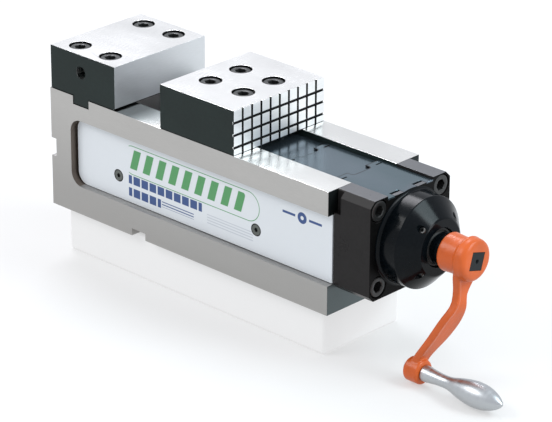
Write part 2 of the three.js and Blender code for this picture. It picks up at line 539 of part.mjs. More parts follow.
function spindleNut() {
  const { halfWidth, halfHeight, screwSpacing } = NUT_FLANGE;
  const face = CARRIAGE_FRONT + GAP;
  const sleeve = rod("x", NUT_RADIUS, face + 1 - NUT_REAR, [NUT_REAR, 0, AXIS_HEIGHT], 28);
  const flange = middleBox(face, NUT_FRONT, halfWidth, AXIS_HEIGHT - halfHeight, AXIS_HEIGHT + halfHeight);
  const bore = rod("x", SPINDLE_RADIUS + GAP, BED_LENGTH, [NUT_REAR - 1, 0, AXIS_HEIGHT], 28);
  const holes = [-1, 1].map((side) =>
    rod("x", SMALL_TAPPED, 12, [face - 3, side * screwSpacing, AXIS_HEIGHT], 12));
  return cut(joined(sleeve, flange), bore, ...holes);
}

function nutScrew(side) {
  const seat = [NUT_FRONT + GAP, side * NUT_FLANGE.screwSpacing, AXIS_HEIGHT];
  return capScrew("x", seat, 1, { ...SMALL_SCREW, headHeight: SMALL_HEAD_HEIGHT - GAP, grip: 14 });
}

function rearCover() {
  const holes = coverScrewPlaces.map(([x, y]) =>
    rod("z", COVER_SCREW.radius + GAP, 8, [x, y, NECK_TOP - 2], 12));
  return cut(coverPlate(CARRIAGE_FRONT - COVER_SEAT + GAP, REAR_COVER_FRONT, 0), ...holes);
}

const coverScrew = ([x, y]) =>
  capScrew("z", [x, y, coverHeight(0) + COVER_THICKNESS + GAP], 1, COVER_SCREW);

// ---- The turning group: lead screw, pressure unit and drive shaft ----------------------------------
const UNIT_BORE = UNIT_RADIUS - UNIT_WALL;
const INNER_RADIUS = UNIT_BORE - GAP;
const UNIT_FLANGE = 4;
const SCREW_HEAD_REAR = UNIT_REAR + UNIT_WALL + GAP;
const SCREW_HEAD_FRONT = SCREW_HEAD_REAR + 6;
const SPRING_REAR = SCREW_HEAD_FRONT + GAP;
const SPRING_COUNT = 4;
const SPRING_PITCH = 4;
const SPRING_BORE = 8.3;
const PISTON_REAR = SPRING_REAR + SPRING_COUNT * SPRING_PITCH + GAP;
const PISTON_FRONT = PISTON_REAR + 7;

const leadScrew = () => turned([
  [SPINDLE_REAR, 0], [SPINDLE_REAR, SPINDLE_RADIUS - 2], [SPINDLE_REAR + 2, SPINDLE_RADIUS],
  [SCREW_HEAD_REAR, SPINDLE_RADIUS], [SCREW_HEAD_REAR, INNER_RADIUS], [SCREW_HEAD_FRONT, INNER_RADIUS],
  [SCREW_HEAD_FRONT, 0]]);

function unitBarrel() {
  const hole = SPINDLE_RADIUS + GAP;
  const end = UNIT_FRONT - UNIT_FLANGE - GAP;
  return turned([
    [UNIT_REAR, hole], [UNIT_REAR, UNIT_RADIUS - 1.5], [UNIT_REAR + 1.5, UNIT_RADIUS], [end, UNIT_RADIUS],
    [end, UNIT_BORE], [UNIT_REAR + UNIT_WALL, UNIT_BORE], [UNIT_REAR + UNIT_WALL, hole], [UNIT_REAR, hole]]);
}

/** Cone-shaped spring washers in pairs, so that the stack's wall zigzags along the axis. */
function discSprings() {
  const wall = 2.4;
  const outward = [];
  const inward = [];
  for (let i = 0; i <= SPRING_COUNT; i++) {
    const x = SPRING_REAR + i * SPRING_PITCH;
    const bulge = i % 2 === 0 ? 0 : wall;
    outward.push([x, INNER_RADIUS - wall + bulge - GAP]);
    inward.unshift([x, SPRING_BORE + bulge]);
  }
  return turned([...outward, ...inward, outward[0]]);
}

const unitPiston = () => turned([
  [SPRING_REAR, 0], [SPRING_REAR, SPRING_BORE - GAP], [PISTON_REAR, SPRING_BORE - GAP],
  [PISTON_REAR, INNER_RADIUS], [PISTON_FRONT, INNER_RADIUS], [PISTON_FRONT, 0]]);

function driveShaft() {
  const plug = PISTON_FRONT + GAP;
  const neck = CAP_FACE - CAP_RECESS_DEPTH;
  const shoulder = HUB_REAR - GAP;
  const shaft = turned([
    [plug, 0], [plug, INNER_RADIUS], [UNIT_FRONT - UNIT_FLANGE, INNER_RADIUS],
    [UNIT_FRONT - UNIT_FLANGE, UNIT_RADIUS], [UNIT_FRONT, UNIT_RADIUS], [UNIT_FRONT, SHAFT_RADIUS],
    [neck, SHAFT_RADIUS], [neck, SHAFT_NECK_RADIUS], [shoulder, SHAFT_NECK_RADIUS], [shoulder, 0]]);
  const half = SQUARE / 2;
  const square = box([shoulder - 1, -half, -half], [HUB_FRONT, half, half]);
  const centre = turned([[HUB_FRONT - 4, 0], [HUB_FRONT + 1, 2.2], [HUB_FRONT + 1, 0]], 0, 12);
  return joined(shaft, cut(square, centre).rotate([CRANK_ANGLE, 0, 0]).translate([0, 0, AXIS_HEIGHT]));
}

function shaftCollar() {
  const rear = CAP_FACE + GAP;
  const front = rear + COLLAR_LENGTH;
  const bore = SHAFT_NECK_RADIUS + GAP;
  const groove = COLLAR_RADIUS - 1.2;
  const middle = (rear + front) / 2;
  return turned([
    [rear, bore], [rear, COLLAR_RADIUS], [middle - 1, COLLAR_RADIUS], [middle - 1, groove],
    [middle + 0.5, groove], [middle + 0.5, COLLAR_RADIUS], [front - 1, COLLAR_RADIUS],
    [front, COLLAR_RADIUS - 1], [front, bore], [rear, bore]]);
}

// ---- The crank, in its own frame: the axis is the X axis and the arm hangs along -Z -----------------
function crankArm() {
  const mid = HUB_FRONT - 10;
  const head = turned([
    [HUB_REAR, 0], [HUB_REAR, CRANK_HUB_RADIUS - 1], [HUB_REAR + 1, CRANK_HUB_RADIUS],
    [mid - 5, CRANK_HUB_RADIUS - 1], [mid - 3, CRANK_HUB_RADIUS - 1.7], [mid - 1, CRANK_HEAD_RADIUS - 1],
    [mid + 1, CRANK_HEAD_RADIUS], [mid + 5, CRANK_HEAD_RADIUS], [mid + 8, CRANK_HEAD_RADIUS - 1.7],
    [HUB_FRONT, CRANK_HEAD_RADIUS - 4.5], [HUB_FRONT, 0]], 0, 32);
  const half = ARM_THICKNESS / 2;
  const foot = (BOSS_FRONT + BOSS_REAR) / 2;
  const knee = mid + ARM_LEAN;
  const slope = (knee - foot) / (CRANK_THROW - ARM_KNEE - 6);
  const centre = [
    [mid, 0], [mid + ARM_LEAN / 2, -ARM_KNEE + 10], [knee, -ARM_KNEE], [knee - 6 * slope, -ARM_KNEE - 9],
    [knee - 24 * slope, -ARM_KNEE - 27], [foot + 1, -CRANK_THROW + 9], [foot, -CRANK_THROW]];
  const side = new THREE.Shape([
    ...smooth(centre.map(([x, z]) => [x - half, z])),
    ...smooth(centre.map(([x, z]) => [x + half, z])).reverse()]);
  const widths = [
    [ARM_WIDTH.neck, 0], [ARM_WIDTH.neck, -0.28 * CRANK_THROW], [ARM_WIDTH.belly, -0.55 * CRANK_THROW],
    [ARM_WIDTH.foot, -0.88 * CRANK_THROW], [ARM_WIDTH.foot, -CRANK_THROW]];
  const edge = smooth(widths.map(([width, z]) => [width / 2, z]));
  const front = new THREE.Shape([
    ...edge, ...edge.map((p) => new THREE.Vector2(-p.x, p.y)).reverse()]);
  const arm = extruded(side, "y", -ARM_WIDTH.belly, ARM_WIDTH.belly).intersect(
    extruded(front, "x", BOSS_REAR - CRANK_THROW, HUB_FRONT + CRANK_THROW));
  const r = CRANK_BOSS_RADIUS;
  const boss = turned([
    [BOSS_REAR, 0], [BOSS_REAR, r - 2], [BOSS_REAR + 2, r], [BOSS_FRONT - 1, r], [BOSS_FRONT, r - 1],
    [BOSS_FRONT, 0]], -CRANK_THROW, 24);
  const hole = SQUARE / 2 + GAP;
  return cut(joined(head, arm, boss),
    box([HUB_REAR - 1, -hole, -hole], [HUB_FRONT + 1, hole, hole]),
    rod("x", PIN_RADIUS + GAP, 2 * CRANK_BOSS_LENGTH, [BOSS_REAR - 5, 0, -CRANK_THROW]));
}

const GRIP_REAR = BOSS_FRONT + GAP;
const GRIP_BORE_END = GRIP_REAR + GRIP_LENGTH * 0.55;

const gripPin = () => turned([
  [BOSS_REAR - 2.3, 0], [BOSS_REAR - 2.3, PIN_RADIUS + 1], [BOSS_REAR - 1.3, PIN_RADIUS + 2.5],
  [BOSS_REAR - GAP, PIN_RADIUS + 2.5], [BOSS_REAR - GAP, PIN_RADIUS],
  [GRIP_BORE_END - GAP, PIN_RADIUS], [GRIP_BORE_END - GAP, 0]], -CRANK_THROW, 20);

function grip() {
  const share = [[0.12, 0.56], [0.24, 0.49], [0.34, 0.53], [0.48, 0.8], [0.64, 1], [0.78, 0.95],
    [0.9, 0.66], [0.97, 0.34]];
  const curve = new THREE.SplineCurve(
    share.map(([x, r]) => new THREE.Vector2(GRIP_REAR + x * GRIP_LENGTH, r * GRIP_RADIUS)));
  const collar = 0.62 * GRIP_RADIUS;
  const bore = PIN_RADIUS + GAP;
  const outline = curve.getPoints(12).map((p) => [p.x, p.y]);
  return turned([
    [GRIP_REAR, bore], [GRIP_REAR, collar], [GRIP_REAR + 0.07 * GRIP_LENGTH, collar], ...outline,
    [GRIP_REAR + GRIP_LENGTH, 0.12 * GRIP_RADIUS], [GRIP_REAR + GRIP_LENGTH, 0], [GRIP_BORE_END, 0],
    [GRIP_BORE_END, bore], [GRIP_REAR, bore]], -CRANK_THROW, 24);
}

// ---- The assembly ----------------------------------------------------------------------------------
const FINISHES = {
  ground_steel: { color: 0xb9b8b4, roughness: 0.35, metalness: 0.9 },
  black_oxide: { color: 0x2b3233, roughness: 0.45, metalness: 0.8 },
  screw_black: { color: 0x24282a, roughness: 0.4, metalness: 0.8 },
  plate_enamel: { color: 0xdde3e6, roughness: 0.4, metalness: 0 },
  cover_steel: { color: 0x6f7d87, roughness: 0.3, metalness: 0.9 },
  polished_steel: { color: 0xc9cccf, roughness: 0.15, metalness: 1 },
  bronze: { color: 0xa9824a, roughness: 0.4, metalness: 0.9 },
  seal_rubber: { color: 0x151515, roughness: 0.7, metalness: 0 },
  crank_enamel: { color: 0xd8683c, roughness: 0.35, metalness: 0 },
};

function group(parent) {
  const made = new THREE.Group();
  if (parent) parent.add(made);
  return made;
}

function piece(parent, name, body, finish) {
  const mesh = new THREE.Mesh(geometryOf(body), new THREE.MeshStandardMaterial(FINISHES[finish]));
  mesh.name = name;
  parent.add(mesh);
}

const vise = group();

const base = group(vise);
piece(base, "bed", bed(), "ground_steel");
piece(base, "fixed_jaw", fixedJaw(), "black_oxide");
fixedScrewPlaces.forEach((place, i) =>
  piece(base, `fixed_jaw_screw_${i + 1}`, jawScrew(place, JAW_SCREW_GRIP), "screw_black"));
for (const [name, side] of [["near", -1], ["far", 1]]) {
  piece(base, `side_plate_${name}`, sidePlate(side), "plate_enamel");
  plateScrewPlaces.forEach((x, i) =>
    piece(base, `side_plate_screw_${name}_${i + 1}`, sidePlateScrew(x, side), "screw_black"));
}
piece(base, "front_housing", frontHousing(), "black_oxide");
housingScrewPlaces.forEach(([y, z], i) =>
  piece(base, `housing_screw_${i + 1}`, housingScrew(y, z), "screw_black"));
piece(base, "bearing_cap", bearingCap(), "black_oxide");
CAP_SET_SCREW_ANGLES.forEach((angle, i) =>
  piece(base, `cap_set_screw_${i + 1}`, capSetScrew(angle), "screw_black"));
piece(base, "shaft_seal", shaftSeal(), "seal_rubber");
["rear_race", "roller_cage", "front_race"].forEach((name, i) =>
  piece(base, `thrust_${name}`, thrustWasher(i), "polished_steel"));
piece(base, "front_cover", frontCover(), "cover_steel");

const slide = group(vise);
piece(slide, "moving_jaw", movingJaw(), "black_oxide");
movingScrewPlaces.forEach((place, i) =>
  piece(slide, `moving_jaw_screw_${i + 1}`, jawScrew(place, JAW_SCREW_GRIP - 3), "screw_black"));
piece(slide, "carriage", carriage(), "ground_steel");
piece(slide, "jaw_key", jawKey(), "polished_steel");
piece(slide, "spindle_nut", spindleNut(), "bronze");
[-1, 1].forEach((side, i) => piece(slide, `nut_screw_${i + 1}`, nutScrew(side), "screw_black"));
piece(slide, "rear_cover", rearCover(), "cover_steel");
coverScrewPlaces.forEach((place, i) =>
  piece(slide, `cover_screw_${i + 1}`, coverScrew(place), "screw_black"));

const middle = group(vise);
piece(middle, "middle_cover", coverPlate(MIDDLE_COVER_REAR, MIDDLE_COVER_FRONT, 1), "cover_steel");

const spindle = group(vise);
piece(spindle, "lead_screw", leadScrew(), "polished_steel");
piece(spindle, "unit_barrel", unitBarrel(), "ground_steel");
piece(spindle, "disc_springs", discSprings(), "polished_steel");
piece(spindle, "unit_piston", unitPiston(), "polished_steel");
piece(spindle, "drive_shaft", driveShaft(), "ground_steel");
piece(spindle, "shaft_collar", shaftCollar(), "screw_black");

const crank = group(vise);
crank.position.z = AXIS_HEIGHT;
crank.rotation.x = THREE.MathUtils.degToRad(CRANK_ANGLE);
piece(crank, "crank_arm", crankArm(), "crank_enamel");
piece(crank, "grip_pin", gripPin(), "polished_steel");
piece(crank, "grip", grip(), "polished_steel");

export default vise;
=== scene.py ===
"""A machine vise with an enclosed screw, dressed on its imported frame.

Ground steel bed and jaws, enamelled side plates, blued cover plates, a black front housing and cap, and an
orange crank with a turned steel grip.
"""

import logging
import math
from dataclasses import dataclass
from enum import Enum
from typing import Callable, Sequence

import bpy
from mathutils import Matrix, Quaternion, Vector


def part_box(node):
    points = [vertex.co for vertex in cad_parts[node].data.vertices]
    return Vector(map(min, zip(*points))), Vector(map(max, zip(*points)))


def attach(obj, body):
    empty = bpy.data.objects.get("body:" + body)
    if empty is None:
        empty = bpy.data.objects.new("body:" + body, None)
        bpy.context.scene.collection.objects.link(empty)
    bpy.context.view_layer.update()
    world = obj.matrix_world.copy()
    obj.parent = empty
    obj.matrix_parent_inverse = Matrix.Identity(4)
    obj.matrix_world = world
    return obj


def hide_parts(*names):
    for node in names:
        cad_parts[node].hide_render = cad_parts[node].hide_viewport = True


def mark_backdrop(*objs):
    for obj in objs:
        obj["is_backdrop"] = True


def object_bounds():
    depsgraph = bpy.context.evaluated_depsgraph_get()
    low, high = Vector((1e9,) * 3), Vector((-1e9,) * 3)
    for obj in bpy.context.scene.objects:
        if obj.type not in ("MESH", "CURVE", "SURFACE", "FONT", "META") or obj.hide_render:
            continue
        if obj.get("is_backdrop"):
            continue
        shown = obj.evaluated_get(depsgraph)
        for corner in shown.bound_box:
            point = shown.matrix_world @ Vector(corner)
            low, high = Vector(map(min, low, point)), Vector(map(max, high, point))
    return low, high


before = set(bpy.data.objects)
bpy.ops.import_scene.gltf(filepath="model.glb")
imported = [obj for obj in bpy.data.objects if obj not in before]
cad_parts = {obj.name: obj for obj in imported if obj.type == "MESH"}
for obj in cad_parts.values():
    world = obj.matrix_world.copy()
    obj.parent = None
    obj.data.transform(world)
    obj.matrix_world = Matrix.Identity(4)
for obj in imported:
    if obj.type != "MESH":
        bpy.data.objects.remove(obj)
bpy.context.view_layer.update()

MM = 0.001
AXIS_HEIGHT = 60.5
SCREW_HOLE = 5.4
COUNTERBORE = 9.0
LUG_Y = (-12.4, 12.4)
COVER_NOTCH = (6.0, 10.0)
NOTCH_CORNER = 3.0
HOUSING_SCREWS = [(y, z) for y in (-34.0, 34.0) for z in (30.2, 90.8)]
GROUND_ALONG = (0.05, 1.0, 1.0)
GROUND_ACROSS = (1.0, 0.05, 1.0)

log = logging.getLogger("vise")
Point = Sequence[float]
Area = tuple[float, float, float, float]
Test = Callable[[Vector, Vector], bool]


class Along(Enum):
    """The direction that a round bar runs in, and the turn that brings the Z axis there."""

    X = ((1, 0, 0), (0.0, math.pi / 2, 0.0))
    Y = ((0, 1, 0), (-math.pi / 2, 0.0, 0.0))
    Z = ((0, 0, 1), (0.0, 0.0, 0.0))


class Side(Enum):
    """The two long sides of the vise, as the sign of their Y."""

    NEAR = -1
    FAR = 1


# ---- Shader graphs ----


class Wire:
    """A node's output whose arithmetic adds Math nodes to its graph."""

    def __init__(self, graph: "Graph", socket: bpy.types.NodeSocket) -> None:
        """Keeps the graph and the socket."""
        self.graph = graph
        self.socket = socket

    def maths(self, operation: str, *values: "Wire | float") -> "Wire":
        """Adds one Math node.

        Args:
            operation: The node's operation.
            values: Its inputs in order.

        Returns:
            The node's result.
        """
        return self.graph.add("ShaderNodeMath", {"operation": operation}, dict(enumerate(values)))

    def __add__(self, other: "Wire | float") -> "Wire":
        """Adds."""
        return self.maths("ADD", self, other)

    def __sub__(self, other: "Wire | float") -> "Wire":
        """Subtracts."""
        return self.maths("SUBTRACT", self, other)

    def __rsub__(self, other: float) -> "Wire":
        """Subtracts from a number."""
        return self.maths("SUBTRACT", other, self)

    def __mul__(self, other: "Wire | float") -> "Wire":
        """Multiplies."""
        return self.maths("MULTIPLY", self, other)

    def __abs__(self) -> "Wire":
        """Takes the absolute value."""
        return self.maths("ABSOLUTE", self)

    def smallest(self, other: "Wire | float") -> "Wire":
        """Takes the smaller of two values."""
        return self.maths("MINIMUM", self, other)

    def largest(self, other: "Wire | float") -> "Wire":
        """Takes the larger of two values."""
        return self.maths("MAXIMUM", self, other)

    def root(self) -> "Wire":
        """Takes the square root."""
        return self.maths("SQRT", self)

    def clamped(self) -> "Wire":
        """Limits the value to between 0 and 1."""
        return self.largest(0.0).smallest(1.0)

    def span(self, low: float, high: float, to_low: float = 0.0, to_high: float = 1.0) -> "Wire":
        """Maps low..high onto to_low..to_high and stops at its ends.

        Args:
            low: Value that gives to_low.
            high: Value that gives to_high.
            to_low: Result at low.
            to_high: Result at high.

        Returns:
            The mapped value.
        """
        return ((self - low) * (1 / (high - low))).clamped() * (to_high - to_low) + to_low


Value = "Wire | float | Sequence[float]"


class Graph:
    """A material's node tree, filled one node at a time."""

    def __init__(self, name: str) -> None:
        """Makes a material with a bare Principled shader."""
        self.material = bpy.data.materials.new(name)
        self.material.use_nodes = True
        self.tree = self.material.node_tree
        self.shader = self.tree.nodes["Principled BSDF"]

    def add(self, kind: str, settings: dict | None = None, inputs: dict | None = None,
            output: int | str = 0) -> Wire:
        """Adds a node.

        Args:
            kind: The node's type.
            settings: Its properties.
            inputs: Values or wires for its sockets, by name or place.
            output: The output to return.

        Returns:
            The chosen output.
        """
        node = self.tree.nodes.new(kind)
        for key, value in (settings or {}).items():
            setattr(node, key, value)
        for key, value in (inputs or {}).items():
            self.feed(node.inputs[key], value)
        return Wire(self, node.outputs[output])

    def feed(self, socket: bpy.types.NodeSocket, value: Value) -> None:
        """Links a wire to a socket, or sets the socket's own value."""
        if isinstance(value, Wire):
            self.tree.links.new(value.socket, socket)
        elif socket.type == "RGBA" and len(value) == 3:
            socket.default_value = (*value, 1.0)
        else:
            socket.default_value = value

    def set(self, **inputs: Value) -> None:
        """Sets the Principled shader's inputs, with underscores for the spaces in their names."""
        for key, value in inputs.items():
            self.feed(self.shader.inputs[key.replace("_", " ")], value)

    def place(self, scale: Point = (1.0, 1.0, 1.0)) -> Wire:
        """The place on the piece in metres, stretched."""
        place = self.add("ShaderNodeTexCoord", output="Object")
        return self.add("ShaderNodeMapping", None, {"Vector": place, "Scale": scale})

    def along(self, axis: int) -> Wire:
        """The place on the piece along one axis, in millimetres."""
        return self.add("ShaderNodeSeparateXYZ", None, {0: self.place()}, output=axis) * (1 / MM)

    def noise(self, scale: float, stretch: Point = (1.0, 1.0, 1.0), detail: float = 3.0) -> Wire:
        """Noise between 0 and 1, stretched along an axis where its factor is small."""
        return self.add("ShaderNodeTexNoise", None,
                        {"Vector": self.place(stretch), "Scale": scale, "Detail": detail}, output="Fac")

    def mix(self, share: Value, first: Value, second: Value) -> Wire:
        """Mixes two colours."""
        return self.add("ShaderNodeMix", {"data_type": "RGBA"}, {0: share, 6: first, 7: second}, output=2)

    def bump(self, height: Wire, distance: float, strength: float = 1.0) -> None:
        """Gives the surface a relief of the given depth in metres."""
        self.set(Normal=self.add("ShaderNodeBump", None,
                                 {"Height": height, "Distance": distance, "Strength": strength}))


# ---- Finishes ----


@dataclass(frozen=True)
class GroundSteel:
    """Steel ground in fine parallel lines, from satin to nearly mirror-bright.

    Its brightness may change along one axis as painted shade: foot times its shade at foot_start, and its
    shade at foot_end.
    """

    name: str
    shade: Point = (0.46, 0.45, 0.435)
    roughness: float = 0.36
    lines: Point = GROUND_ALONG
    depth: float = 0.000004
    foot: float = 1.0
    foot_end: float = 88.0
    foot_start: float = 20.0
    foot_axis: int = 2

    def make(self) -> bpy.types.Material:
        """Builds the material."""
        graph = Graph(self.name)
        fine = graph.noise(2600.0, self.lines)
        broad = graph.noise(28.0, (0.5, 1.0, 1.0))
        darker = tuple(c * 0.9 for c in self.shade)
        colour = graph.mix((fine * 0.55 + broad * 0.45).span(0.35, 0.65), darker, self.shade)
        if self.foot != 1.0:
            # Painted shade: darker at foot_start, the full shade from foot_end on.
            rise = graph.along(self.foot_axis).span(self.foot_start, self.foot_end)
            colour = graph.mix(rise, tuple(c * self.foot for c in self.shade), colour)
        graph.set(
            Base_Color=colour,
            Roughness=broad.span(0.3, 0.7, self.roughness * 0.9, self.roughness * 1.1) + (fine - 0.5) * 0.06,
            Metallic=1.0,
        )
        graph.bump(fine, self.depth)
        return graph.material


@dataclass(frozen=True)
class Blackened:
    """Black oxide or black paint with a faint mottle."""

    name: str
    shade: Point = (0.016, 0.021, 0.020)
    roughness: float = 0.4
    level: float = 0.5
    metallic: float = 0.0
    grain: float = 420.0

    def make(self) -> bpy.types.Material:
        """Builds the material."""
        graph = Graph(self.name)
        mottle = graph.noise(self.grain)
        cloud = graph.noise(22.0)
        lighter = tuple(c * 1.35 + 0.002 for c in self.shade)
        graph.set(
            Base_Color=graph.mix((mottle * 0.4 + cloud * 0.6).span(0.35, 0.65), self.shade, lighter),
            Roughness=(mottle * 0.3 + cloud * 0.7).span(0.3, 0.7, self.roughness * 0.85,
                                                        self.roughness * 1.15),
            Metallic=self.metallic,
            Specular_IOR_Level=self.level,
        )
        graph.bump(mottle, 0.00001)
        return graph.material


@dataclass(frozen=True)
class CrankEnamel:
    """Orange enamel over a casting, with a slight orange peel and thinner paint in patches."""

    name: str = "orange_crank_enamel"
    shade: Point = (0.54, 0.098, 0.018)

    def make(self) -> bpy.types.Material:
        """Builds the material."""
        graph = Graph(self.name)
        cast = graph.noise(330.0, detail=4.0)
        cloud = graph.noise(45.0)
        deeper = tuple(c * 0.82 for c in self.shade)
        graph.set(
            Base_Color=graph.mix(cloud.span(0.35, 0.65), deeper, self.shade),
            Roughness=(cast * 0.5 + cloud * 0.5).span(0.3, 0.7, 0.27, 0.4),
            Specular_IOR_Level=0.25,
            Coat_Weight=0.06,
            Coat_Roughness=0.15,
        )
        graph.bump(cast, 0.0004, 0.6)
        return graph.material


@dataclass(frozen=True)
class PolishedSteel:
    """Bright turned steel with faint rings round the axis of the grip."""

    name: str = "polished_steel"
    roughness: float = 0.2

    def make(self) -> bpy.types.Material:
        """Builds the material."""
        graph = Graph(self.name)
        rings = graph.noise(1500.0, (1.0, 0.04, 0.04))
        graph.set(
            Base_Color=graph.mix(rings.span(0.3, 0.7), (0.45, 0.47, 0.485), (0.48, 0.50, 0.515)),
            Roughness=rings.span(0.3, 0.7, self.roughness * 0.8, self.roughness * 1.3),
            Metallic=1.0,
        )
        graph.bump(rings, 0.000003)
        return graph.material


@dataclass(frozen=True)
class Plain:
    """A small part's plain finish with a fine grain in its colour and gloss."""

    name: str
    shade: Point
    roughness: float
    metallic: float = 0.0
    level: float = 0.5
    grain: float = 600.0

    def make(self) -> bpy.types.Material:
        """Builds the material."""
        graph = Graph(self.name)
        grain = graph.noise(self.grain)
        graph.set(
            Base_Color=graph.mix(grain.span(0.3, 0.7), tuple(c * 0.85 for c in self.shade), self.shade),
            Roughness=grain.span(0.3, 0.7, self.roughness * 0.85, self.roughness * 1.1),
            Metallic=self.metallic,
            Specular_IOR_Level=self.level,
        )
        graph.bump(grain, 0.000008)
        return graph.material


@dataclass
class Print:
    """Flat printed shapes, drawn as distances on a plate's own x and height in millimetres."""

    graph: Graph
    x: Wire
    z: Wire
    colour: Value

    def rounded(self, x: float, z: float, width: float, height: float, radius: float = 0.0) -> Wire:
        """Distance to a rounded block.

        Args:
            x: Its middle along the plate.
            z: Its middle's height.
            width: Half its length.
            height: Half its height.
            radius: The radius of its corners.

        Returns:
            The distance, negative inside.
        """
        dx = abs(self.x - x) - (width - radius)
        dz = abs(self.z - z) - (height - radius)
        px, pz = dx.largest(0.0), dz.largest(0.0)
        return (px * px + pz * pz).root() + dx.largest(dz).smallest(0.0) - radius

    def ink(self, distance: Wire, colour: Point) -> None:
        """Prints a shape in a colour."""
        self.colour = self.graph.mix(distance.span(0.12, -0.12), self.colour, colour)

    def repeated(self, along: Wire, pitch: float) -> Wire:
        """Distance from the middle of the nearest of many stripes."""
        turns = along * (1 / pitch)
        return abs(turns.maths("FRACT", turns) - 0.5) * pitch


@dataclass(frozen=True)
class BluedPlate:
    """Thin blued spring steel, smooth enough to mirror what stands over it, with a painted shadow line along
    its rear edge.
    """

    name: str = "blued_cover_steel"
    edge: float | None = None
    notch: tuple[float, float] = COVER_NOTCH
    line: float = 0.8

    def make(self) -> bpy.types.Material:
        """Builds the material, with a painted shadow line along the rear edge and notch where the plate has
        one.
        """
        graph = Graph(self.name)
        cloud = graph.noise(14.0, (0.6, 1.0, 1.0))
        temper = graph.noise(9.0, (1.0, 0.7, 1.0))
        fine = graph.noise(1800.0, (1.0, 0.05, 1.0))
        blue = graph.mix(cloud.span(0.35, 0.65), (0.095, 0.14, 0.165), (0.135, 0.17, 0.205))
        colour = graph.mix(temper.span(0.55, 0.68), blue, (0.175, 0.165, 0.20))
        if self.edge is not None:
            # Painted shadow: a dark line along the plate's rear edge and notch, where it steps over the plate
            # below.
            x, y = graph.along(0), graph.along(1)
            print_ = Print(graph, x, y, colour)
            cut = (x - self.edge).smallest(print_.rounded(self.edge, 0.0, *self.notch, NOTCH_CORNER))
            print_.ink(abs(cut - self.line / 2) - self.line / 2, (0.012, 0.014, 0.016))
            colour = print_.colour
        graph.set(
            Base_Color=colour,
            Roughness=(cloud * 0.7 + fine * 0.3).span(0.3, 0.7, 0.17, 0.25),
            Metallic=0.9,
        )
        graph.bump(fine, 0.000002)
        return graph.material


@dataclass(frozen=True)
class PrintedPlate:
    """White enamel with a plain print: slanted green stripes in a long outline, navy blocks, grey rules.

    Each area of the print has its middle along the plate, its middle's height and half its length and height.
    ring and ring_far are the places of the ring between two bars along the near and the far plate. The far
    plate's pattern is the near one's turned about middle.
    """

    name: str
    side: Side = Side.NEAR
    ring: float = 118.5
    ring_far: float = 98.0
    ring_height: float = 67.8
    ring_radius: float = 4.6
    middle: float = -4.0
    outline: Area = (0.0, 60.7, 74.5, 12.0)
    stripes: Area = (-3.5, 61.6, 63.0, 8.3)
    upper_blocks: Area = (-27.0, 43.9, 40.5, 3.6)
    lower_blocks: Area = (-49.5, 33.4, 18.0, 3.6)
    navy_rules: Area = (-13.0, 33.6, 17.5, 2.4)
    grey_rules: Area = (43.5, 36.2, 24.5, 4.4)
    white: Point = (0.60, 0.63, 0.655)
    green: Point = (0.055, 0.25, 0.08)
    navy: Point = (0.012, 0.05, 0.18)
    grey: Point = (0.45, 0.48, 0.52)

    def make(self) -> bpy.types.Material:
        """Builds the material."""
        graph = Graph(self.name)
        x, z = graph.along(0), graph.along(2)
        mark = self.ring
        if self.side is Side.FAR:
            x, mark = 2 * self.middle - x, self.ring_far
        print_ = Print(graph, x, z, self.white)
        outline = abs(print_.rounded(*self.outline, radius=12.0)) - 0.32
        print_.ink(outline.largest(-67.0 - x), self.green)
        stripes = print_.repeated(x - z * 0.3, 14.2) - 3.9
        print_.ink(stripes.largest(print_.rounded(*self.stripes, radius=2.0)), self.green)
        blocks = print_.repeated(x, 9.0) - 3.7
        rules = print_.repeated(z, 2.3) - 0.45
        for lines, area, colour in (
                (blocks, self.upper_blocks, self.navy), (blocks, self.lower_blocks, self.navy),
                (rules, self.navy_rules, self.navy), (rules, self.grey_rules, self.grey)):
            print_.ink(lines.largest(print_.rounded(*area)), colour)
        radius = self.ring_radius
        print_.ink(abs(print_.rounded(mark, self.ring_height, radius, radius, radius) + 1.5) - 1.5, self.navy)
        for bar in (mark - 13.5, mark + 13.5):
            print_.ink(print_.rounded(bar, self.ring_height, 6.5, 1.0), self.navy)
        cloud = graph.noise(30.0)
        graph.set(Base_Color=print_.colour, Roughness=cloud.span(0.3, 0.7, 0.28, 0.38), Coat_Weight=0.1)
        graph.bump(cloud, 0.00003)
        return graph.material


# ---- Modelling ----


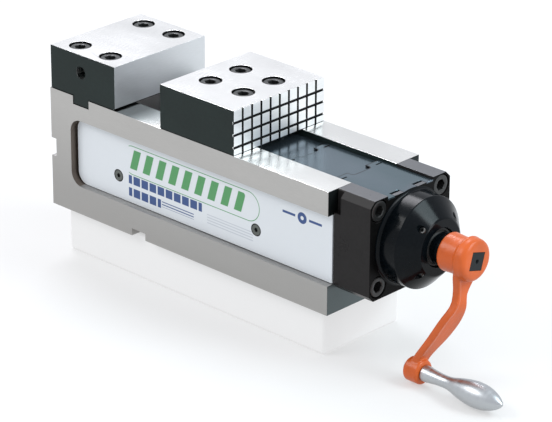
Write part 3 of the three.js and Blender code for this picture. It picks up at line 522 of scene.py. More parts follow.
class Bench:
    """Modelling steps, with every size and place in millimetres."""

    @staticmethod
    def clear() -> None:
        """Leaves edit mode and deselects everything."""
        active = bpy.context.view_layer.objects.active
        if active is not None and active.mode != "OBJECT":
            bpy.ops.object.mode_set(mode="OBJECT")
        bpy.ops.object.select_all(action="DESELECT")

    @staticmethod
    def hold(piece: bpy.types.Object) -> None:
        """Makes a piece the only selected one."""
        Bench.clear()
        bpy.context.view_layer.objects.active = piece
        piece.select_set(True)

    @staticmethod
    def take(name: str) -> bpy.types.Object:
        """Names the piece just added and moves its place into its mesh."""
        piece = bpy.context.active_object
        bpy.ops.object.transform_apply(location=True, rotation=True, scale=True)
        piece.name = piece.data.name = name
        return piece

    @staticmethod
    def block(name: str, low: Point, high: Point) -> bpy.types.Object:
        """Adds a block between two corners."""
        Bench.clear()
        middle = [(a + b) / 2 * MM for a, b in zip(low, high)]
        size = [(b - a) * MM for a, b in zip(low, high)]
        bpy.ops.mesh.primitive_cube_add(size=1, location=middle, scale=size)
        return Bench.take(name)

    @staticmethod
    def bar(name: str, along: Along, radius: float, start: Point, length: float, sides: int = 40,
            end_radius: float | None = None) -> bpy.types.Object:
        """Adds a round bar, cone or prism.

        Args:
            name: Its name.
            along: The direction it runs in.
            radius: Its radius at the start.
            start: Where it starts.
            length: How far it runs.
            sides: Its number of sides.
            end_radius: Its radius at the end, if different.

        Returns:
            The bar.
        """
        Bench.clear()
        direction, turn = along.value
        middle = (Vector(start) + Vector(direction) * (length / 2)) * MM
        bpy.ops.mesh.primitive_cone_add(
            vertices=sides, radius1=radius * MM, radius2=(radius if end_radius is None else end_radius) * MM,
            depth=length * MM, location=middle, rotation=turn)
        return Bench.take(name)

    @staticmethod
    def settle(piece: bpy.types.Object) -> bpy.types.Object:
        """Moves a piece's place into its mesh."""
        Bench.hold(piece)
        bpy.ops.object.transform_apply(location=True, rotation=True, scale=True)
        return piece

    @staticmethod
    def open(kind: str) -> None:
        """Opens the active piece for editing, with all its vertices, edges or faces selected."""
        bpy.ops.object.mode_set(mode="EDIT")
        bpy.ops.mesh.select_mode(type=kind)
        bpy.ops.mesh.select_all(action="SELECT")

    @staticmethod
    def close() -> None:
        """Turns the edited piece's faces outwards and leaves edit mode."""
        bpy.ops.mesh.select_all(action="SELECT")
        bpy.ops.mesh.normals_make_consistent(inside=False)
        bpy.ops.object.mode_set(mode="OBJECT")

    @staticmethod
    def wire(name: str, outline: Sequence[Point], height: float) -> bpy.types.Object:
        """Adds a chain of edges through [x, radius] points above an axis, and leaves it open for editing."""
        Bench.clear()
        bpy.ops.mesh.primitive_plane_add(size=MM)
        piece = Bench.take(name)
        Bench.open("VERT")
        bpy.ops.mesh.merge(type="CENTER")
        at = Vector((outline[0][0], 0.0, height + outline[0][1])) * MM
        bpy.ops.transform.translate(value=at)
        for x, radius in outline[1:]:
            to = Vector((x, 0.0, height + radius)) * MM
            bpy.ops.mesh.extrude_region_move(TRANSFORM_OT_translate={"value": to - at})
            at = to
        bpy.ops.mesh.select_all(action="SELECT")
        return piece

    @staticmethod
    def turned(name: str, profile: Sequence[Point], height: float = AXIS_HEIGHT,
               steps: int = 96) -> bpy.types.Object:
        """Spins an outline of [x, radius] points about the X axis at a height.

        Args:
            name: The piece's name.
            profile: The outline, ending on the axis or where it starts.
            height: The axis's height.
            steps: The number of steps round.

        Returns:
            The closed piece.
        """
        piece = Bench.wire(name, profile, height)
        bpy.ops.mesh.spin(steps=steps, angle=2 * math.pi, center=(0, 0, height * MM), axis=(1, 0, 0))
        bpy.ops.mesh.select_all(action="SELECT")
        bpy.ops.mesh.remove_doubles(threshold=MM * 0.005)
        Bench.close()
        return piece

    @staticmethod
    def modify(piece: bpy.types.Object, kind: str, **settings: object) -> None:
        """Adds a modifier with its settings and applies it."""
        Bench.hold(piece)
        modifier = piece.modifiers.new(kind.lower(), kind)
        for key, value in settings.items():
            setattr(modifier, key, value)
        bpy.ops.object.modifier_apply(modifier=modifier.name)

    @staticmethod
    def merge(piece: bpy.types.Object, operation: str, tools: Sequence[bpy.types.Object]) -> bpy.types.Object:
        """Cuts or joins a piece with tools, which are used up."""
        for tool in tools:
            Bench.modify(piece, "BOOLEAN", operation=operation, solver="EXACT", object=tool)
            bpy.data.objects.remove(tool)
        return piece

    @staticmethod
    def cut(piece: bpy.types.Object, *tools: bpy.types.Object) -> bpy.types.Object:
        """Cuts tools out of a piece."""
        return Bench.merge(piece, "DIFFERENCE", tools)

    @staticmethod
    def join(piece: bpy.types.Object, *tools: bpy.types.Object) -> bpy.types.Object:
        """Joins tools to a piece."""
        return Bench.merge(piece, "UNION", tools)

    @staticmethod
    def round_edges(piece: bpy.types.Object, chosen: Test, radius: float, segments: int) -> bpy.types.Object:
        """Rounds or chamfers chosen edges in edit mode.

        Args:
            piece: The piece.
            chosen: Says from an edge's two ends, in millimetres, whether it is rounded.
            radius: The radius, or the chamfer's width.
            segments: 1 for a chamfer, more for a radius.

        Returns:
            The piece.
        """
        Bench.hold(piece)
        bpy.ops.object.mode_set(mode="EDIT")
        bpy.ops.mesh.select_mode(type="EDGE")
        bpy.ops.mesh.select_all(action="DESELECT")
        bpy.ops.object.mode_set(mode="OBJECT")
        points = piece.data.vertices
        for edge in piece.data.edges:
            a, b = (points[i].co / MM for i in edge.vertices)
            edge.select = chosen(a, b)
        bpy.ops.object.mode_set(mode="EDIT")
        bpy.ops.mesh.bevel(offset=radius * MM, segments=segments, affect="EDGES")
        bpy.ops.object.mode_set(mode="OBJECT")
        return piece

    @staticmethod
    def soften(piece: bpy.types.Object, width: float, segments: int = 2,
               angle: float = 32.0) -> bpy.types.Object:
        """Breaks the sharp edges and shades the piece smooth, with flat faces kept flat."""
        Bench.modify(piece, "BEVEL", width=width * MM, segments=segments, limit_method="ANGLE",
                     angle_limit=math.radians(angle), use_clamp_overlap=True, miter_outer="MITER_ARC")
        return Bench.shade(piece)

    @staticmethod
    def split(piece: bpy.types.Object, x: float) -> None:
        """Divides a piece's faces where they cross a plane, so that each end takes its own finish."""
        Bench.hold(piece)
        Bench.open("FACE")
        bpy.ops.mesh.bisect(plane_co=(x * MM, 0, 0), plane_no=(1, 0, 0))
        bpy.ops.object.mode_set(mode="OBJECT")

    @staticmethod
    def shade(piece: bpy.types.Object, angle: float = 40.0) -> bpy.types.Object:
        """Shades a piece smooth below an angle, weighted by the size of its faces."""
        Bench.hold(piece)
        bpy.ops.object.shade_smooth_by_angle(angle=math.radians(angle), keep_sharp_edges=False)
        Bench.modify(piece, "WEIGHTED_NORMAL", keep_sharp=True, weight=80)
        return piece

    @staticmethod
    def copy(piece: bpy.types.Object, name: str, place: Matrix) -> bpy.types.Object:
        """Copies a piece with its own mesh and moves the copy's mesh, its place in millimetres."""
        twin = piece.copy()
        twin.data = piece.data.copy()
        bpy.context.scene.collection.objects.link(twin)
        twin.name = twin.data.name = name
        twin.matrix_world = Matrix.Translation(place.to_translation() * MM) @ place.to_3x3().to_4x4()
        return Bench.settle(twin)

    @staticmethod
    def dress(piece: bpy.types.Object, *finishes: tuple[bpy.types.Material, Test | None]) -> None:
        """Gives a piece its materials.

        Args:
            piece: The piece.
            finishes: Each material, with a test on a face's middle in millimetres and its normal. A later one
                wins, and the first goes everywhere.
        """
        piece.data.materials.clear()
        for index, (material, test) in enumerate(finishes):
            piece.data.materials.append(material)
            for face in piece.data.polygons:
                if test is None or test(face.center / MM, face.normal):
                    face.material_index = index

    @staticmethod
    def fit(piece: bpy.types.Object, body: str, slot: str, node: str) -> None:
        """Puts a piece on its body in place of its frame node."""
        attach(piece, body)
        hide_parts(node)
        log.info("%s: %d faces on %s", piece.name, len(piece.data.polygons), body)


# ---- The vise ----


class Paints:
    """The finishes of the whole vise, each made once."""

    def __init__(self) -> None:
        """Builds every material."""
        # The bed's sides darken towards the bottom: painted shade.
        self.bed_side = GroundSteel("satin_ground_steel", foot=0.78).make()
        # The rails' tops darken next to the fixed jaw: a painted reflection of the jaw.
        self.bed_top = GroundSteel("bright_ground_steel", (0.81, 0.81, 0.79), 0.23, GROUND_ALONG, 0.000002,
                                   foot=0.14, foot_end=-16.0, foot_start=-62.0, foot_axis=0).make()
        self.guide = Plain("guide_ground_steel", (0.68, 0.69, 0.71), 0.5).make()
        self.recess_edge = GroundSteel("recess_rim_steel", (0.20, 0.165, 0.14), 0.42).make()
        self.jaw_top = GroundSteel("jaw_ground_steel", (0.82, 0.82, 0.81), 0.26, GROUND_ACROSS,
                                   0.000002).make()
        self.jaw_grid = GroundSteel("jaw_grid_steel", (0.84, 0.845, 0.85), 0.5, GROUND_ACROSS,
                                    0.000003).make()
        self.jaw_face = GroundSteel("jaw_face_steel", (0.66, 0.68, 0.70), 0.45, GROUND_ACROSS,
                                    0.000003).make()
        # The front end is painted near black above 30 mm and lighter at the bottom: the painted shadow of the
        # gap under the housing.
        self.bed_end = GroundSteel("milled_end_steel", (0.03, 0.036, 0.037), 0.5, GROUND_ACROSS, foot=4.0,
                                   foot_end=30.0).make()
        self.oxide = Blackened("black_oxide", (0.007, 0.013, 0.012), 0.42, 0.16).make()
        # Near black, darker than the oxide: painted shade in holes and grooves, and painted shadow in the
        # fixed jaw's relief and along the cover plates' seams.
        self.recess = Blackened("groove_black", (0.004, 0.004, 0.004), 0.5, 0.1).make()
        self.housing = Blackened("housing_black", (0.011, 0.010, 0.010), 0.3, 0.12).make()
        # A lighter copy of the housing's black for its top: a painted sheen.
        self.housing_top = Blackened("housing_top_black", (0.045, 0.046, 0.052), 0.3, 0.75).make()
        # A darker copy for its front face: painted shade.
        self.housing_face = Blackened("housing_face_black", (0.002, 0.002, 0.002), 0.35, 0.05).make()
        self.gloss = Blackened("gloss_black", (0.001, 0.002, 0.003), 0.17, 0.10).make()
        self.screw = Blackened("screw_black", (0.035, 0.036, 0.036), 0.3, 0.5, 0.7).make()
        self.blued = BluedPlate().make()
        self.enamel = CrankEnamel().make()
        self.polished = PolishedSteel().make()
        self.satin = PolishedSteel("satin_grip_steel", 0.36).make()
        self.bronze = Plain("nut_bronze", (0.42, 0.23, 0.08), 0.35, 1.0).make()
        self.rubber = Plain("seal_rubber", (0.012, 0.012, 0.012), 0.6).make()
        self.square = Plain("drive_square_steel", (0.010, 0.013, 0.015), 0.4, 0.0, 0.15).make()
        self.screw_bright = Plain("plate_screw_steel", (0.13, 0.14, 0.13), 0.3, 1.0).make()


@dataclass(frozen=True)
class CapScrew:
    """A cap screw with a hex socket, modelled once and copied to its places."""

    head_radius: float = 8.0
    head_height: float = 10.0
    hex_size: float = 8.0
    radius: float = 5.0
    chamfer: float = 0.8
    rim: float = 0.25

    def model(self, grip: float) -> bpy.types.Object:
        """Models the screw with its head's seat at the origin and its shank along -X."""
        top, head, chamfer = self.head_height, self.head_radius, self.chamfer
        profile = [
            (-grip, 0.0), (-grip, self.radius - chamfer), (-grip + chamfer, self.radius), (0.0, self.radius),
            (0.0, head), (top - chamfer, head), (top - self.rim, head - self.rim), (top, head - 0.9),
            (top, 0.0)]
        screw = Bench.turned("cap_screw", profile, 0.0, 56)
        socket = Bench.bar("socket", Along.X, self.hex_size / math.sqrt(3), (top * 0.45, 0, 0), top, 6)
        mouth = Bench.bar("mouth", Along.X, self.hex_size * 0.48, (top - 0.7, 0, 0), 1.4, 40,
                          self.hex_size * 0.76)
        return Bench.shade(Bench.cut(screw, socket, mouth), 35.0)

    def place(self, names: Sequence[str], places: Sequence[Point], grip: float, turn: Matrix, body: str,
              finish: bpy.types.Material) -> None:
        """Copies the screw to its places.

        Args:
            names: The frame's node for each screw.
            places: The middle of each head's seat.
            grip: The shank's length.
            turn: The turn from the X axis.
            body: The body that the screws ride on.
            finish: Their material.
        """
        first = self.model(grip)
        for name, place in zip(names, places):
            twin = Bench.copy(first, name + "_shaped", Matrix.Translation(Vector(place)) @ turn)
            Bench.dress(twin, (finish, None))
            Bench.fit(twin, body, "screw_black", name)
        bpy.data.objects.remove(first)


UP = Quaternion((0, 1, 0), -math.pi / 2).to_matrix().to_4x4()
FORWARD = Matrix.Identity(4)


@dataclass(frozen=True)
class Bed:
    """The hollow bed, its side plates and their screws."""

    length: float = 300.0
    width: float = 100.0
    height: float = 100.0
    rear: float = -150.0
    channel_start: float = -90.0
    guide: float = 25.0
    neck: float = 23.5
    slide: float = 30.0
    ledge: float = 93.8
    underside: float = 80.0
    floor: float = 38.0
    recess_start: float = -127.3
    recess: tuple[float, float] = (24.0, 80.3)
    recess_floor: float = 42.0
    plate_face: float = 44.0
    plate_front: float = 149.0
    plate_screws: tuple[float, float] = (-79.0, 71.0)
    plate_screw_height: float = 43.3
    plate_screw_hole: float = 4.2
    recess_corner: float = 11.0
    bottom_slot: tuple[float, float, float] = (-58.5, -43.5, 6.0)
    rear_slot: tuple[float, float, float] = (42.2, 57.2, 5.4)
    tenon_slot: tuple[float, float, float] = (-123.7, -105.7, 93.0)

    def recess_tool(self, name: str, low: Point, high: Point, radius: float) -> bpy.types.Object:
        """A block with its two rear corners rounded about the Y axis."""

        def corner(a: Vector, b: Vector) -> bool:
            """The edges of the rear end that run across the vise."""
            return abs(a.x - low[0]) < 0.1 and abs(b.x - low[0]) < 0.1 and abs(a.z - b.z) < 0.1

        return Bench.round_edges(Bench.block(name, low, high), corner, radius, 10)

    def build(self, paints: Paints) -> None:
        """Models and dresses the bed, both side plates and their screws."""
        half, front = self.width / 2, self.rear + self.length
        bed = Bench.block("bed_shaped", (self.rear, -half, 0), (front, half, self.height))
        over = self.height + 1
        boxes = [
            ((self.channel_start, -self.guide, self.ledge), (front + 1, self.guide, over)),
            ((self.channel_start, -self.neck, self.underside - 1), (front + 1, self.neck, self.ledge + 1)),
            ((self.channel_start, -self.slide, self.floor), (front + 1, self.slide, self.underside)),
            ((self.bottom_slot[0], -half - 1, -1), (self.bottom_slot[1], half + 1, self.bottom_slot[2])),
            ((self.rear - 1, -half - 1, self.rear_slot[0]),
             (self.rear + self.rear_slot[2], half + 1, self.rear_slot[1])),
            ((self.tenon_slot[0], -half - 1, self.tenon_slot[2]), (self.tenon_slot[1], half + 1, over))]
        tools = [Bench.block("t", low, high) for low, high in boxes]
        for side in Side:
            near, far = sorted((side.value * self.recess_floor, side.value * (half + 1)))
            tools.append(self.recess_tool("t", (self.recess_start, near, self.recess[0]),
                                          (front + 1, far, self.recess[1]), self.recess_corner))
        tools += [Bench.bar("t", Along.Z, SCREW_HOLE, (x, y, 76), 30, 24) for x, y in FixedJaw.screws]
        tools += [Bench.bar("t", Along.X, SCREW_HOLE, (126, y, z), 30, 24) for y, z in HOUSING_SCREWS]
        for x in self.plate_screws:
            for side in Side:
                start = (x, side.value * 37.5 - 6.5, self.plate_screw_height)
                tools.append(Bench.bar("t", Along.Y, self.plate_screw_hole, start, 13, 24))
        Bench.soften(Bench.cut(bed, *tools), 0.45)
        Bench.split(bed, 0.0)

        def top(at: Vector, normal: Vector) -> bool:
            """The rails' ground tops and the other faces that look up near them."""
            return normal.z > 0.9 and at.z > 90

        def inner(at: Vector, normal: Vector) -> bool:
            """The recesses' unground round ends."""
            wall = self.recess_floor - 0.5 < abs(at.y) < half - 0.6 and 20 < at.z < 84
            return wall and abs(normal.x) > 0.2 and at.x < -100

        def end(at: Vector, normal: Vector) -> bool:
            """The milled front end, which the housing is bolted to."""
            return normal.x > 0.9 and at.x > front - 0.1

        def walls(at: Vector, normal: Vector) -> bool:
            """The guide's walls under the sliding jaw and in front of it, painted black as painted shade and
            reflection of the dark channel.
            """
            return abs(at.y) < self.guide + 0.1 and at.z < self.height - 0.4 and 0 < at.x < front - 0.1

        def guide(at: Vector, normal: Vector) -> bool:
            """The guide's bright ground walls between the jaws."""
            inside = abs(at.y) < self.slide + 0.1 and at.z < self.height - 0.4
            return inside and at.x < 0 and abs(normal.y) > 0.7

        Bench.dress(bed, (paints.bed_side, None), (paints.bed_top, top), (paints.recess_edge, inner),
                    (paints.bed_end, end), (paints.oxide, walls), (paints.guide, guide))
        Bench.fit(bed, "base", "ground_steel", "bed")
        for side in Side:
            self.side_plate(paints, side)

    def side_plate(self, paints: Paints, side: Side) -> None:
        """Models one printed plate and its two flush screws."""
        name = side.name.lower()
        near, far = sorted((side.value * (self.recess_floor + 0.3), side.value * self.plate_face))
        low = (self.recess_start + 1.8, near, self.recess[0] + 0.3)
        high = (self.plate_front, far, self.recess[1] - 0.3)
        plate = self.recess_tool(f"side_plate_{name}_shaped", low, high, self.recess_corner - 1)
        start, radii = -0.1, (5.2, 3.0)
        if side is Side.FAR:
            start, radii = -2.4, (3.0, 5.2)
        tools = []
        for x in self.plate_screws:
            seat = (x, side.value * self.plate_face + start, self.plate_screw_height)
            tools.append(Bench.bar("t", Along.Y, radii[0], seat, 2.5, 40, radii[1]))
        Bench.soften(Bench.cut(plate, *tools), 0.25)

        def sunk(at: Vector, normal: Vector) -> bool:
            """The insides of the screws' seats."""
            return abs(normal.y) < 0.95 and -110 < at.x < 120 and 35 < at.z < 52

        Bench.dress(plate, (PrintedPlate(f"printed_enamel_{name}", side).make(), None), (paints.screw, sunk))
        Bench.fit(plate, "base", "plate_enamel", f"side_plate_{name}")
        self.plate_screw_pair(paints, side, name)

    def plate_screw_pair(self, paints: Paints, side: Side, name: str) -> None:
        """Models one flat-head screw and copies it to its two places on a plate."""
        profile = [(-11.2, 0.0), (-11.2, 2.0), (-10.6, 2.5), (-2.4, 2.5), (-0.5, 4.3), (-0.15, 4.45),
                   (0.0, 4.2), (0.0, 0.0)]
        screw = Bench.turned("plate_screw", profile, 0.0, 48)
        Bench.cut(screw, Bench.bar("t", Along.X, 1.9, (-1.6, 0, 0), 3, 6))
        Bench.shade(screw, 30.0)
        turn = Quaternion((0, 0, 1), side.value * math.pi / 2).to_matrix().to_4x4()
        for index, x in enumerate(self.plate_screws):
            seat = Vector((x, side.value * (self.plate_face - 0.1), self.plate_screw_height))
            place = Matrix.Translation(seat)
            node = f"side_plate_screw_{name}_{index + 1}"
            twin = Bench.copy(screw, node + "_shaped", place @ turn)
            Bench.dress(twin, (paints.screw, None), (paints.screw_bright, lambda at, n: abs(n.y) > 0.9))
            Bench.fit(twin, "base", "screw_black", node)
        bpy.data.objects.remove(screw)


@dataclass(frozen=True)
class Jaw:
    """One jaw block with its counterbored screw holes."""

    name: str
    body: str
    rear: float
    front: float
    screws: tuple[tuple[float, float], ...]
    grip: float
    half: float = 49.5
    bottom: float = 100.3
    top: float = 136.2
    seat: float = 125.2
    face: str = "jaw_face"
    sunk_top: float = 101.7

    def block(self) -> bpy.types.Object:
        """The plain block."""
        low, high = (self.rear, -self.half, self.bottom), (self.front, self.half, self.top)
        return Bench.block(self.name + "_shaped", low, high)

    def holes(self) -> list[bpy.types.Object]:
        """The counterbores and the screws' clearance holes."""
        tools = []
        for x, y in self.screws:
            tools.append(Bench.bar("t", Along.Z, SCREW_HOLE, (x, y, 90), 40, 24))
            tools.append(Bench.bar("t", Along.Z, COUNTERBORE, (x, y, self.seat - 0.3), 30, 64))
        return tools

    def finish(self, piece: bpy.types.Object, paints: Paints) -> None:
        """Breaks the edges, gives ground and blackened faces their finishes and adds the screws."""
        Bench.soften(piece, 0.4)

        def side(at: Vector, normal: Vector) -> bool:
            """The blackened sides and underside."""
            return abs(normal.y) > 0.5 or normal.z < -0.5

        def end(at: Vector, normal: Vector) -> bool:
            """The ground faces across the vise."""
            return abs(normal.x) > 0.7 and (at.x < self.rear + 0.5 or at.x > self.front - 0.5)

        def sunk(at: Vector, normal: Vector) -> bool:
            """The insides of the holes and of the grooves, painted darker than the oxide as painted shade,
            which also paints the shadow line in the fixed jaw's relief.
            """
            reach = (COUNTERBORE + 0.15) ** 2
            inside = any((at.x - x) ** 2 + (at.y - y) ** 2 < reach for x, y in self.screws)
            behind = self.front - 1.4 < at.x < self.front - 0.45 and abs(at.y) < self.half - 0.4
            return (inside and at.z < self.top - 0.3) or (behind and at.z < self.sunk_top)

        face = getattr(paints, self.face)
        Bench.dress(piece, (paints.jaw_top, None), (paints.oxide, side), (face, end), (paints.recess, sunk))
        Bench.fit(piece, self.body, "black_oxide", self.name)
        names = [f"{self.name}_screw_{i + 1}" for i in range(len(self.screws))]
        seats = [(x, y, self.seat) for x, y in self.screws]
        CapScrew().place(names, seats, self.grip, UP, self.body, paints.screw)


@dataclass(frozen=True)
class FixedJaw(Jaw):
    """The jaw keyed and bolted to the bed."""

    name: str = "fixed_jaw"
    body: str = "base"
    rear: float = -149.0
    front: float = -76.1
    screws: tuple[tuple[float, float], ...] = (
        (-130.5, -34.4), (-130.5, 34.4), (-96.2, -34.4), (-96.2, 34.4))
    grip: float = 45.2
    relief: float = 1.2
    tenon: tuple[float, float] = (-123.4, -106.0)
    work_stop: Point = (-114.4, -50.5, 121.4)
    work_stop_radius: float = 5.0

    def build(self, paints: Paints) -> None:
        """Models the block, its tenon, its relief and the work-stop hole."""
        low, high = self.tenon
        piece = Bench.join(self.block(), Bench.block("t", (low, -self.half, 93.3), (high, self.half, 101)))
        foot = self.bottom + self.relief
        tools = [Bench.block("t", (self.front - self.relief, -60, 99), (self.front + 1, 60, foot)),
                 Bench.bar("t", Along.Y, self.work_stop_radius, self.work_stop, 17, 40)]
        Bench.cut(piece, *tools, *self.holes())
        self.finish(piece, paints)


@dataclass(frozen=True)
class MovingJaw(Jaw):
    """The sliding jaw with a grid of grooves on its front face."""

    name: str = "moving_jaw"
    body: str = "slide"
    rear: float = -25.8
    front: float = 53.3
    screws: tuple[tuple[float, float], ...] = ((-4.1, -16.5), (-4.1, 16.5), (30.9, -16.5), (30.9, 16.5))
    grip: float = 42.2
    face: str = "jaw_grid"
    sunk_top: float = 135.7
    pitch: float = 10.0
    depth: float = 1.2
    groove: float = 2.0
    rows: int = 3
    columns: int = 9
    keyway: tuple[float, float] = (7.4, 19.4)

    def build(self, paints: Paints) -> None:
        """Models the block, its keyway and the grid."""
        piece = self.block()
        back, half = self.front - self.depth, self.groove / 2
        tools = [Bench.block("t", (self.keyway[0], -20, 99), (self.keyway[1], 20, 104))]
        for i in range(self.columns):
            y = (i - self.columns // 2) * self.pitch
            tools.append(Bench.block("t", (back, y - half, 100), (self.front + 1, y + half, 138)))
        for i in range(1, self.rows + 1):
            z = self.top - i * self.pitch
            tools.append(Bench.block("t", (back, -60, z - half), (self.front + 1, 60, z + half)))
        Bench.cut(piece, *tools, *self.holes())
        self.finish(piece, paints)


@dataclass(frozen=True)
class Housing:
    """The front housing with its four cap screws."""

    rear: float = 150.3
    face: float = 186.0
    half: float = 44.0
    bottom: float = 20.0
    top: float = 100.0
    chamfer: float = 4.7
    lip: float = 3.5
    cover_half: float = 25.0
    cover_seat: float = 96.6
    ledge: float = 93.8
    unit_bore: float = 20.4
    shaft_bore: float = 12.0
    spigot_bore: float = 16.3
    spigot_rear: float = 179.7
    lug_half: float = 4.7
    screw_grip: float = 47.7
    screw_seat: float = 175.7

    def build(self, paints: Paints) -> None:
        """Models the housing, its cover slot, bores and lugs, and adds its screws."""
        low, high = (self.rear, -self.half, self.bottom), (self.face, self.half, self.top)
        housing = Bench.block("front_housing_shaped", low, high)
        Bench.round_edges(housing, lambda a, b: abs(a.x - b.x) > 1, self.chamfer, 1)
        tools = [
            Bench.block("t", (self.rear - 1, -self.cover_half, self.ledge),
                        (self.face - self.lip, self.cover_half, self.top + 1)),
            Bench.block("t", (self.rear - 2, -self.cover_half, self.cover_seat),
                        (self.face + 1, self.cover_half, self.top + 2)),
            Bench.bar("t", Along.X, self.unit_bore, (self.rear - 1, 0, AXIS_HEIGHT), 22.7, 64),
            Bench.bar("t", Along.X, self.shaft_bore, (self.rear - 2, 0, AXIS_HEIGHT), 40, 64),
            Bench.bar("t", Along.X, self.spigot_bore, (self.spigot_rear, 0, AXIS_HEIGHT), 10, 64)]
        for side in Side:
            near, far = sorted((side.value * 40, side.value * 46))
            tools.append(Bench.block("t", (self.rear - 1, near, 82), (self.rear + 6.5, far, self.top + 1)))
        for y, z in HOUSING_SCREWS:
            tools.append(Bench.bar("t", Along.X, SCREW_HOLE, (self.rear - 1, y, z), 40, 32))
            tools.append(Bench.bar("t", Along.X, COUNTERBORE, (self.screw_seat - 0.3, y, z), 14, 56))
        Bench.cut(housing, *tools)
        root = self.face - self.lip - 0.2
        lugs = [Bench.block("t", (root, y - self.lug_half, self.ledge - 0.2),
                            (self.face, y + self.lug_half, self.top - 2)) for y in LUG_Y]
        Bench.soften(Bench.join(housing, *lugs), 0.5, 2, 28.0)
        # Painted light: the top faces take a lighter copy of the black as a painted sheen, and the front faces
        # a darker copy as painted shade.
        Bench.dress(housing, (paints.housing, None),
                    (paints.housing_top, lambda at, normal: normal.z > 0.9 and at.z > 90),
                    (paints.housing_face, lambda at, normal: normal.x > 0.9))
        Bench.fit(housing, "base", "black_oxide", "front_housing")
        names = [f"housing_screw_{i + 1}" for i in range(4)]
        seats = [(self.screw_seat, y, z) for y, z in HOUSING_SCREWS]
        CapScrew().place(names, seats, self.screw_grip, FORWARD, "base", paints.screw)


@dataclass(frozen=True)
class Covers:
    """The three telescoping cover plates over the screw."""

    half: float = 24.7
    thickness: float = 1.1
    heights: tuple[float, float, float] = (94.1, 95.5, 96.9)
    screw_hole: float = 2.1
    lug_notch: float = 5.0
    slot_y: float = 19.4
    slot_half: float = 3.2

    def plate(self, name: str, level: int, tools: Sequence[bpy.types.Object], body: str,
              paints: Paints) -> None:
        """Models one plate over its frame node.

        Args:
            name: The frame's node.
            level: Its step, counted from the lowest.
            tools: What is cut out of it.
            body: The body it rides on.
            paints: The vise's finishes.
        """
        low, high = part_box(name)
        bottom = self.heights[level]
        # The upper plates get the painted shadow line along their rear edge.
        finish = BluedPlate(f"blued_{name}", low.x / MM).make() if level else paints.blued
        plate = Bench.block(name + "_shaped", (low.x / MM, -self.half, bottom),
                            (high.x / MM, self.half, bottom + self.thickness))
        Bench.soften(Bench.cut(plate, *tools), 0.45, 1)
        # The edge faces near the rear edge, notch and slots are painted near black: painted shadow in the seam
        # between plates.
        edge = low.x / MM + 8
        Bench.dress(plate, (finish, None),
                    (paints.recess, lambda at, normal: normal.z < 0.95 and at.x < edge))
        Bench.fit(plate, body, "cover_steel", name)

    def build(self, paints: Paints) -> None:
        """Models the rear, middle and front plates, with holes for the rear plate's screws."""
        screws = [((low + high) / 2) / MM for low, high in (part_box(f"cover_screw_{i}") for i in (1, 2))]
        holes = [Bench.bar("t", Along.Z, self.screw_hole, (at.x, at.y, 92), 6, 32) for at in screws]
        self.plate("rear_cover", 0, holes, "slide", paints)
        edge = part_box("middle_cover")[0].x / MM
        self.plate("middle_cover", 1, self.tongue_cuts(edge), "middle_cover", paints)
        notches = [Bench.block("t", (180, y - self.lug_notch, 90), (190, y + self.lug_notch, 100))
                   for y in LUG_Y]
        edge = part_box("front_cover")[0].x / MM
        self.plate("front_cover", 2, notches + self.tongue_cuts(edge), "base", paints)

    def tongue_cuts(self, edge: float) -> list[bpy.types.Object]:
        """What shapes a plate's rear edge: a wide shallow notch, and a slot on each side of it."""
        depth, half = COVER_NOTCH
        notch = Bench.block("t", (edge - depth, -half, 90), (edge + depth, half, 100))
        Bench.round_edges(notch, lambda a, b: abs(a.z - b.z) > 1 and a.x > edge, NOTCH_CORNER, 5)
        rear, front = edge + depth - 1.5, edge + depth - 0.2
        slots = [Bench.block("t", (rear, y - self.slot_half, 90), (front, y + self.slot_half, 100))
                 for y in (-self.slot_y, self.slot_y)]
        return [notch, *slots]


@dataclass(frozen=True)
class Cap:
    """The bearing cap on the housing, with the seal in its mouth."""

    face: float = 186.0
    front: float = 216.0
    radius: float = 36.0
    foot: float = 2.5
    hub: float = 17.0
    ring: float = 22.5
    recess: float = 15.2
    spigot: float = 16.0
    spigot_rear: float = 180.0
    hole: float = 12.1
    set_screws: tuple[float, ...] = (43, 133, 223, 313)
    set_screw_hole: float = 2.8

    def build(self, paints: Paints) -> None:
        """Spins the cap and the seal, and drills the cap's set screw holes."""
        foot = []
        for step in range(9):
            turn = step / 8 * math.pi / 2
            foot.append((self.face + 0.3 + self.foot * (1 - math.cos(turn)),
                         self.radius + self.foot * (1 - math.sin(turn))))
        shoulder = self.face + self.hub
        slope = (self.radius - self.ring) / (self.front - shoulder)
        profile = [
            (self.spigot_rear, self.hole), (self.spigot_rear, self.spigot - 0.3),
            (self.spigot_rear + 0.3, self.spigot), (self.face + 0.3, self.spigot), *foot,
            (shoulder - 0.7, self.radius), (shoulder - 0.2, self.radius - 0.1),
            (shoulder + 0.3, self.radius - 0.35), (self.front - 0.9, self.ring + 0.9 * slope),
            (self.front - 0.35, self.ring + 0.05), (self.front, self.ring - 0.6),
            (self.front, self.recess + 0.4), (self.front - 0.4, self.recess), (self.front - 6, self.recess),
            (self.front - 6, self.hole), (self.spigot_rear, self.hole)]
        cap = Bench.turned("bearing_cap_shaped", profile, steps=128)
        tools = []
        for angle in self.set_screws:
            hole = Bench.bar("t", Along.Y, self.set_screw_hole, (self.face + 26.5, 17, 0), 20, 28)
            hole.matrix_world = about_axis(angle)
            tools.append(hole)
        bpy.context.view_layer.update()
        Bench.shade(Bench.cut(cap, *tools), 28.0)
        Bench.dress(cap, (paints.gloss, None))
        Bench.fit(cap, "base", "black_oxide", "bearing_cap")
        lips = [(5.7, 10.5), (5.7, 14.7), (2.3, 14.7), (2.0, 14.4), (2.0, 13.2), (3.0, 12.6), (3.0, 11.6),
                (2.2, 10.5), (5.7, 10.5)]
        seal = Bench.turned("shaft_seal_shaped", [(self.front - depth, radius) for depth, radius in lips])
        Bench.dress(Bench.shade(seal, 30.0), (paints.rubber, None))
        Bench.fit(seal, "base", "seal_rubber", "shaft_seal")


